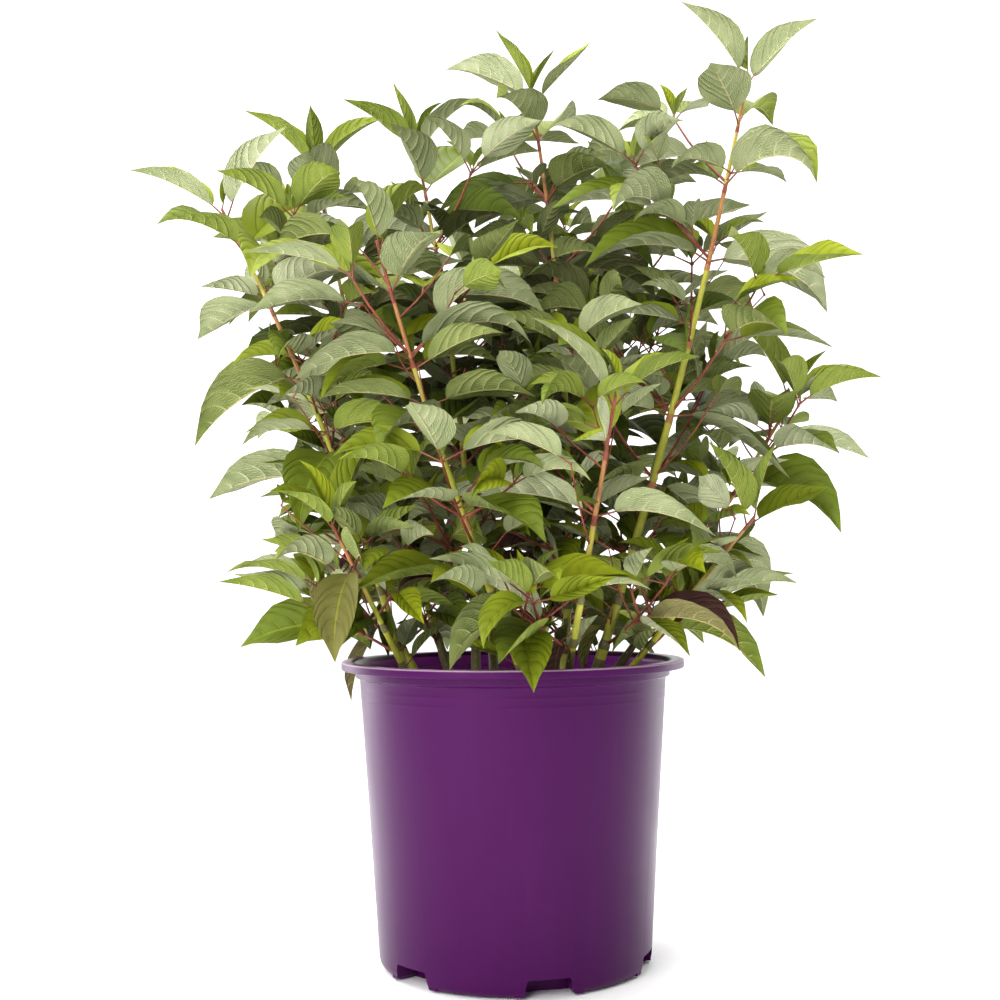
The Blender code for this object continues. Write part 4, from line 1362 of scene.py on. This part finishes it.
def blade_faces():
    """The faces of a blade of rows of five points between its two ends, and their places."""
    rows = len(LEAF_ROWS)
    foot, tip = 0, 1
    upper = {}
    lower = {}
    count = 2
    for row in range(1, rows - 1):
        for column in range(5):
            upper[row, column] = count
            count += 1
    for row in range(1, rows - 1):
        for column in range(5):
            edge = column in (0, 4)
            lower[row, column] = upper[row, column] if edge else count
            count += 0 if edge else 1
    faces = []
    places = []
    sides = []

    def place(row, column):
        return (0.5 + 0.5 * LEAF_COLUMNS[column], LEAF_ROWS[row])

    for side, grid in ((0, upper), (1, lower)):
        for column in range(4):
            first = [(foot, (0.5, 0.0)), (grid[1, column], place(1, column))]
            first.append((grid[1, column + 1], place(1, column + 1)))
            final = [(grid[rows - 2, column + 1], place(rows - 2, column + 1))]
            final += [(grid[rows - 2, column], place(rows - 2, column)), (tip, (0.5, 1.0))]
            loops = [first[::-1], final[::-1]]
            for row in range(1, rows - 2):
                around = ((row, column), (row, column + 1), (row + 1, column + 1), (row + 1, column))
                loops.append([(grid[item], place(*item)) for item in around])
            for loop in loops:
                ordered = loop if side == 1 else [loop[0]] + loop[:0:-1]
                faces.append(tuple(index for index, _ in ordered))
                places += [where for _, where in ordered]
                sides.append(side)
    return faces, places, sides


def blade_points(leaf, shape):
    """Points of one blade, in the order that blade_faces counts them."""
    along = (np.arange(BEND_STEPS) + 0.5) / BEND_STEPS
    slope = (leaf.rise + leaf.fall) / 2.0
    slope = slope + (leaf.fall - leaf.rise) * shape["bend"] * (along - 0.5)
    slope = slope - shape["hook"] * along ** 3
    heading = np.array(leaf.heading)
    up = np.array((0.0, 0.0, 1.0))
    steps = np.outer(np.cos(slope), heading) + np.outer(np.sin(slope), up)
    start = np.array(leaf.foot) + leaf.petiole * (
        heading * math.cos(leaf.rise) + up * math.sin(leaf.rise)
    )
    line = np.vstack([start, start + np.cumsum(steps, axis=0) * leaf.blade / BEND_STEPS])
    wide = LEAF_WIDTHS * shape["aspect"] * leaf.blade / 2.0
    flat = np.cross(up, heading)
    upper = []
    lower = []
    marks = np.arange(BEND_STEPS + 1)
    for row, share in enumerate(LEAF_ROWS):
        mark = share * BEND_STEPS
        middle = np.array([np.interp(mark, marks, line[:, axis]) for axis in range(3)])
        tangent = steps[min(BEND_STEPS - 1, int(mark))]
        roll = leaf.roll + shape["lean"] + shape["twist"] * share
        side = flat * math.cos(roll) + np.cross(tangent, flat) * math.sin(roll)
        normal = np.cross(tangent, side)
        if row in (0, len(LEAF_ROWS) - 1):
            upper.append([middle])
            lower.append([])
            continue
        inner = shape["fold"] + shape["arch"]
        outer = shape["fold"] - shape["arch"]
        ring = []
        for column in LEAF_COLUMNS:
            reach = 0.5 * math.cos(inner) * min(1.0, abs(column) * 2.0)
            lift = 0.5 * math.sin(inner) * min(1.0, abs(column) * 2.0)
            if abs(column) > 0.5:
                reach += 0.5 * math.cos(outer)
                lift += 0.5 * math.sin(outer)
                wave = 2.0 * math.pi * (shape["waves"] * share + shape["phase"] + 0.25 * column)
                lift += shape["ripple"] * math.sin(wave)
            ring.append(middle + (side * math.copysign(reach, column) + normal * lift) * wide[row])
        upper.append(ring)
        lower.append([point - normal * BLADE_THICKNESS for point in ring[1:4]])
    points = [upper[0][0], upper[-1][0]]
    for ring in upper[1:-1]:
        points += ring
    for ring in lower[1:-1]:
        points += ring
    return np.array(points)


def leaf_shape(rng, young, attempt):
    """How one blade is folded, arched, waved and twisted."""
    return {
        "aspect": TRUE_ASPECT * rng.uniform(0.88, 1.08) * (1.0 - 0.03 * attempt - 0.36 * young),
        "fold": math.radians(rng.uniform(18.0, 52.0) + 14.0 * young),
        "arch": math.radians(rng.uniform(3.0, 14.0)),
        "lean": math.radians(rng.gauss(0.0, 15.0)),
        "twist": math.radians(rng.gauss(0.0, 24.0)),
        "bend": rng.uniform(0.25, 0.90),
        "hook": math.radians(rng.uniform(-14.0, 42.0)),
        "waves": rng.uniform(1.2, 2.2),
        "phase": rng.random(),
        "ripple": rng.uniform(0.02, 0.09),
    }


def add_stalk(leaf, stalks):
    """The red stalk, from inside its twig to a little way under the blade."""
    end = leaf.petiole + 0.05 * leaf.blade
    points = [leaf_frame(leaf, end * step / (STALK_STEPS - 1))[0] for step in range(STALK_STEPS)]
    points[0] = leaf.foot - leaf_slope(leaf, 0.0) * 0.0006
    scale = 0.55 + 0.45 * leaf.blade / 0.09
    radii = [STALK_RADIUS * scale * share for share in (1.35, 1.0, 0.9, 0.85, 0.5)]
    stalks.add(*tube(points, radii, 5))


def leaf_tints(leaf, seat, rng):
    """Base colours dealt out by spray: young at the tips, painted shade deep inside the crown, aged
    at the foot.
    """
    tops = list(TOP_TINTS)
    unders = list(UNDER_TINTS)
    height = leaf.foot.z
    spray = random.Random(leaf.mass).random()
    if height < AGED_BELOW and rng.random() < 0.04:
        return tops.index("aged"), unders.index("dull")
    if height < WINE_BELOW and rng.random() < 0.06:
        return tops.index("wine"), unders.index("dull")
    deep = depth(leaf.foot) + rng.gauss(0.0, 0.015)
    if seat.table is YOUNG_LEAVES:
        return tops.index("spring" if rng.random() < 0.6 else "fresh"), unders.index("young")
    # painted shade: leaves deep inside the crown take the darkest colours
    if deep > SHADED:
        return tops.index("deep" if rng.random() < 0.5 else "shade"), unders.index("shade")
    if seat.rank == 0:
        top = "spring" if rng.random() < 0.45 else "fresh"
    elif seat.rank == 1:
        top = "fresh" if rng.random() < 0.6 else "full"
    else:
        top = ("fresh", "full", "full", "deep")[int((spray + rng.random()) * 2.0) % 4]
    under = ("pale", "grey", "sage")[int((spray * 1.5 + rng.random() * 1.5)) % 3]
    if seat.rank < 2 and rng.random() < 0.30:
        under = "young"
    # painted shade: leaves half deep in the crown take a darker colour
    if deep > HALF_SHADED:
        top = "deep" if top == "full" else "full"
        under = "sage" if under == "grey" else "grey"
    return tops.index(top), unders.index(under)


class Blades:
    """The blades dressed so far, each in the first shape that meets nothing else."""

    def __init__(self, filled):
        self.filled = filled
        self.faces, self.face_places, self.face_sides = blade_faces()
        self.leaves = Gathered()
        self.stalks = Gathered()

    def dress(self, leaf, seat, rng, tries, forced, tints=None):
        """Adds the leaf's blade and stalk and says whether it did.

        A blade that is forced is added in its last shape where none of them is free.
        """
        young = 1.0 if seat.table is YOUNG_LEAVES else 0.3 * (seat.rank == 0)
        for attempt in range(tries):
            points = blade_points(leaf, leaf_shape(rng, young, attempt))
            vectors = [Vector(point) for point in points]
            tree = BVHTree.FromPolygons(vectors, self.faces)
            met = self.filled.meets(vectors, tree)
            if not met:
                break
        if met and not forced:
            return False
        self.filled.add(leaf.mass, vectors, tree)
        top, under = tints or leaf_tints(leaf, seat, rng)
        tints = [under + len(TOP_TINTS) if side else top for side in self.face_sides]
        self.leaves.add(points, self.faces, self.face_places, tints)
        add_stalk(leaf, self.stalks)
        return True


def loose_leaf(seat, rng, attempt):
    """A leaf that only the scene has, on a stalk as short as the leaf is small."""
    leaf = posed_leaf(seat, rng, attempt)
    return leaf._replace(petiole=leaf.petiole * seat_leaf(seat)[0] / LEAF_USUAL)


def even_ways(count):
    """Directions spread evenly over a ball."""
    number = np.arange(count) + 0.5
    rise = 1.0 - 2.0 * number / count
    level = np.sqrt(1.0 - rise ** 2)
    turn = number * math.pi * (3.0 - math.sqrt(5.0))
    return np.column_stack([level * np.cos(turn), level * np.sin(turn), rise])


WAYS = even_ways(96)        # in which the reach of the crown is measured


def is_stem(twig):
    """Whether the twig is the cane's own wood inside its crown."""
    return len(twig.points) == CROWN_RINGS


def young_pairs(dressed):
    """Two narrow young leaves that stand up from the end of every stem and long shoot."""
    for number, twig in enumerate(twigs):
        rng = random.Random(YOUNG_SEED + number)
        sizes = YOUNG_ON_STEM if is_stem(twig) else YOUNG_ON_SHOOT
        heading = turned(Vector((1.0, 0.0, 0.0)), rng.uniform(0.0, 180.0))
        for side in (1.0, -1.0):
            seat = Seat(twig.mass, twig.points[-1], UP, heading * side, YOUNG_LEAVES, 0)
            for attempt in range(YOUNG_TRIES):
                leaf = loose_leaf(seat, rng, attempt)
                size = rng.uniform(*sizes)
                leaf = leaf._replace(blade=leaf.blade * size, petiole=YOUNG_STALK * size)
                if dressed.dress(leaf, seat, rng, 2, False):
                    break


def low_leaves(dressed):
    """Last year's lowest leaves, limp and brown or wine-red, and small new ones by the mix."""
    for number, (name, height, way, blade, rise, fall, top, under) in enumerate(LOW_LEAVES):
        rng = random.Random(LOW_SEED + number)
        line = cane_line(CANES[name])
        tints = (list(TOP_TINTS).index(top), list(UNDER_TINTS).index(under))
        for attempt in range(LOW_TRIES):
            spread = min(1.0, attempt / 12.0)
            place = point_along(line, height + spread * rng.uniform(-0.006, 0.014))[0]
            course = turned(Vector((1.0, 0.0, 0.0)), way + spread * rng.uniform(-60.0, 60.0))
            seat = Seat("crown_" + name, place, UP, course, ((blade, rise, fall),), 0)
            leaf = loose_leaf(seat, rng, attempt % 6)._replace(petiole=LOW_STALK)
            if dressed.dress(leaf, seat, rng, 3, False, tints):
                break


def hides(leaf, line):
    """Whether the leaf stands close before a front cane, which the plant shows bare."""
    for share in (0.3, 0.7, 1.0):
        point = leaf_frame(leaf, leaf.petiole + share * leaf.blade)[0]
        nearest = min(line, key=lambda spot: abs(spot.z - point.z))
        if point.y < nearest.y + 0.005 and abs(point.x - nearest.x) < HIDING:
            return True
    return False


def depth(point):
    """How deep a point lies below the crown's outer surface."""
    return float((crown_reach - WAYS @ np.array(point)).min())


def within(leaf, covered=0.0, highest=1.0):
    """Whether a fill-in leaf keeps to the solids' box, off the mix and off the front canes."""
    tip = leaf_frame(leaf, leaf.petiole + leaf.blade)[0]
    low, high = cad_box
    inside = all(low[axis] < tip[axis] < high[axis] for axis in range(3))
    if not inside or not MIX_TOP + FILL_CLEAR < tip.z < highest or depth(tip) < covered:
        return False
    return not any(hides(leaf, line) for line in front_lines)


def fine_shoots(dressed, rng, kind):
    """Short side shoots with small leaves, from the axils and along the canes."""
    shoots = []
    starts = []
    for number, seat in enumerate(seats):
        if rng.random() < kind.share and seat.rank > 0:
            starts.append((seat.mass, seat.place + UP * AXIL, seat.heading))
    for name, cane in CANES.items():
        line = cane_line(cane)
        bare = line_length(line) - cane.crown * kind.bare
        height = FINE_FROM + kind.covered
        while height < bare:
            place = point_along(line, height)[0]
            heading = turned(Vector((1.0, 0.0, 0.0)), rng.uniform(0.0, 360.0))
            starts.append(("cane_" + name, place, heading))
            height += rng.uniform(*FINE_STEPS)
    for mass, place, heading in starts:
        course = turned(heading, rng.uniform(-35.0, 35.0))
        length = rng.uniform(*kind.reach)
        slopes = (rng.uniform(30.0, 55.0), rng.uniform(40.0, 70.0))
        twig = Twig(mass, shoot_points(place, course, *slopes, length), [])
        radii = [FINE_RADII[0]] * len(twig.points)
        shell = shell_tree(twig.points, radii, 5)
        ahead = [point_along(twig.points, FINE_STEM)[0]] + twig.points[1:]
        if dressed.filled.meets(ahead, shell_tree(ahead, radii, 5)):
            continue
        carried = 0
        end, _ = point_along(twig.points, length - 0.001)
        for rank, place in enumerate((end, point_along(twig.points, 0.45 * length)[0])):
            for side in (90.0, -90.0, 0.0):
                if side == 0.0 and rank:
                    continue
                lean = turned(course, side + rng.uniform(-20.0, 20.0))
                seat = Seat(mass, place, UP, lean, kind.leaves, rank + (side == 0.0))
                for attempt in range(3):
                    leaf = loose_leaf(seat, rng, attempt)
                    kept = within(leaf, kind.covered, kind.highest)
                    if kept and dressed.dress(leaf, seat, rng, 2, False):
                        carried += 1
                        break
        if carried:
            shoots.append(twig)
            dressed.filled.add(mass, twig.points, shell)
    return shoots


def add_wood(wood, twig, steps, sides, thick, thin):
    """A twig's round wood, thinning evenly to its end."""
    length = line_length(twig.points)
    points = [point_along(twig.points, length * step / steps)[0] for step in range(steps + 1)]
    radii = [thick + (thin - thick) * step / steps for step in range(steps + 1)]
    wood.add(*tube(points, radii, sides))


filled = Places()
for name in ["pot", "potting_mix"] + bare_canes:
    filled.add_mesh(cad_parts[name])
for twig in twigs:
    bare_wood = [point_along(twig.points, WOOD_STEM)[0]] + twig.points[1:]
    filled.add(twig.mass, bare_wood, shell_tree(bare_wood, twig.radii, 5))
tips = [leaf_frame(leaf, leaf.petiole + leaf.blade)[0] for _, leaf in leaves]
crown_reach = (WAYS @ np.array(tips).T).max(axis=1)
front_lines = [cane_line(CANES[name], 20) for name in FRONT_CANES]
dressed = Blades(filled)
for number, leaf in leaves:
    dressed.dress(leaf, seats[number], random.Random(BLADE_SEED + number), 8, True)
low_leaves(dressed)
young_pairs(dressed)
placed = {number for number, _ in leaves}
for number, seat in enumerate(seats):
    if number in placed:
        continue
    rng = random.Random(OPEN_SEED + number)
    for attempt in range(OPEN_TRIES):
        leaf = loose_leaf(seat, rng, 2 + attempt)
        if within(leaf) and dressed.dress(leaf, seat, rng, 2, False):
            break
main_blades = dressed.leaves
dressed.leaves = Gathered()
shoots = fine_shoots(dressed, random.Random(FINE_SEED), FINE)
shoots += fine_shoots(dressed, random.Random(INNER_SEED), INNER)
surfaces = [top_surface(name, tint) for name, tint in TOP_TINTS.items()]
surfaces += [under_surface(name, tint) for name, tint in UNDER_TINTS.items()]
masses = sorted({twig.mass for twig in twigs})
for name, blades in (("leaf_blades", main_blades), ("small_leaves", dressed.leaves)):
    blades = add_object(name, blades.mesh(name), *surfaces)
    blades.data.set_sharp_from_angle(angle=math.radians(BLADE_SHARP))
    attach(blades, "root")
    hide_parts(*masses)
stalk_bark = bark_surface("leaf stalk", STALK_TINTS)
leaf_stalks = add_object("leaf_stalks", dressed.stalks.mesh("leaf_stalks"), stalk_bark)
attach(leaf_stalks, "root")
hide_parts(*masses)

wood = Gathered()
for twig in twigs:
    if not is_stem(twig):
        add_wood(wood, twig, 12, 7, *WOOD_RADII)
for twig in shoots:
    add_wood(wood, twig, 6, 6, *FINE_RADII)
twig_bark = bark_surface("twig bark", BARK_TINTS["red"])
twig_wood = add_object("twig_wood", wood.mesh("twig_wood"), twig_bark)
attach(twig_wood, "root")
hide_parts(*masses)


# ---- The floor -----------------------------------------------------------------------
# A bare sheet of matt white paper, so wide that its edge shows in no view. It isn't part
# of the plant, and lies a hair below the pot so that the two never share a plane.
FLOOR_HALF = 14.0
CONTACT = 0.0003            # keeps the floor off the pot's flat underside
FLOOR_TINT = (0.95, 0.95, 0.95)


def floor_surface():
    """Matt white paper with the faintest cloud in it."""
    made, tree, shader = new_surface("pale floor", 0.7, 0.2)
    place = object_place(tree)
    cloud = noise_node(tree, place, 1.2, 2.0)
    pale = tuple(value * 1.02 for value in FLOOR_TINT)
    base = mixed(tree, cloud, colour(FLOOR_TINT), colour(pale))
    tree.links.new(base, shader.inputs["Base Color"])
    return made


corners = [(-FLOOR_HALF, -FLOOR_HALF, -CONTACT), (FLOOR_HALF, -FLOOR_HALF, -CONTACT)]
corners += [(FLOOR_HALF, FLOOR_HALF, -CONTACT), (-FLOOR_HALF, FLOOR_HALF, -CONTACT)]
floor_mesh = bpy.data.meshes.new("floor")
floor_mesh.from_pydata(corners, [], [(0, 1, 2, 3)])
floor = add_object("floor", floor_mesh, floor_surface())


# ---- Light and camera ----------------------------------------------------------------
# A white studio: a bright surround, dimmer in front and on the right, a broad softbox in
# front on the left, a weaker one on each side behind the plant, and a large one overhead.
# The camera is where the ellipses of the pot's rim and foot put the photographer's.
world = bpy.data.worlds.new("white studio")
world.use_nodes = True
surround = world.node_tree
facing = add_node(surround, "SeparateXYZ", {0: add_node(surround, "TexCoord").outputs[0]}).outputs
wall = ranged(surround, facing[1], -0.45, 0.15, 0.14, 1.50)        # dim in front
ceiling = ranged(surround, facing[2], 0.25, 0.80, 1.05, 1.65)
right_front = minus(surround, facing[0], facing[1])
wall = times(surround, wall, ranged(surround, right_front, 0.30, 1.20, 1.0, 0.35))
horizon = ranged(surround, facing[2], 0.10, 0.24, 1.40, 0.0)
wall = math_node(surround, "MAXIMUM", wall, horizon)
background = surround.nodes["Background"]
surround.links.new(times(surround, wall, ceiling), background.inputs["Strength"])
background.inputs["Color"].default_value = colour((1.0, 1.0, 1.0))
bpy.context.scene.world = world
bpy.context.scene.view_settings.view_transform = "Standard"


def softbox(name, place, target, size, power):
    """A rectangular light of a width and height in metres, aimed at a point."""
    data = bpy.data.lights.new(name, "AREA")
    data.shape = "RECTANGLE"
    data.size, data.size_y = size
    data.energy = power
    obj = bpy.data.objects.new(name, data)
    bpy.context.scene.collection.objects.link(obj)
    aim = Vector(target) - Vector(place)
    turn = aim.to_track_quat("-Z", "Y").to_matrix().to_4x4()
    obj.matrix_world = Matrix.Translation(Vector(place)) @ turn


softbox("front left box", (-1.0, -1.8, 1.1), (0.0, 0.0, 0.30), (1.5, 1.6), 54.0)
softbox("left box", (-1.3, 0.9, 0.5), (0.0, 0.0, 0.2), (0.9, 1.6), 15.0)
softbox("right box", (1.4, 0.9, 0.5), (0.0, 0.0, 0.2), (0.9, 1.6), 7.0)
softbox("overhead box", (-0.2, -0.1, 2.0), (0.0, 0.0, 0.4), (1.2, 1.2), 46.0)

CAMERA_PLACE = (0.0037, -1.1418, 0.3096)
CAMERA_YAW = -0.011
CAMERA_PITCH = 0.052
CAMERA_ROLL = -0.010
FOCAL_PIXELS = 1401.6
PICTURE_PIXELS = 1000.0
SENSOR = 36.0
yaw, pitch, roll = CAMERA_YAW, CAMERA_PITCH, CAMERA_ROLL
ahead = Vector((math.sin(yaw) * math.cos(pitch), math.cos(yaw) * math.cos(pitch), math.sin(pitch)))
level = Vector((math.cos(yaw), -math.sin(yaw), 0.0))
above = level.cross(ahead)
right = level * math.cos(roll) + above * math.sin(roll)
top = above * math.cos(roll) - level * math.sin(roll)
camera_data = bpy.data.cameras.new("camera")
camera_data.sensor_width = SENSOR
camera_data.lens = FOCAL_PIXELS * SENSOR / PICTURE_PIXELS
camera = bpy.data.objects.new("camera", camera_data)
bpy.context.scene.collection.objects.link(camera)
turn = Matrix((right, top, -ahead)).transposed().to_4x4()
camera.matrix_world = Matrix.Translation(Vector(CAMERA_PLACE)) @ turn
bpy.context.scene.camera = camera
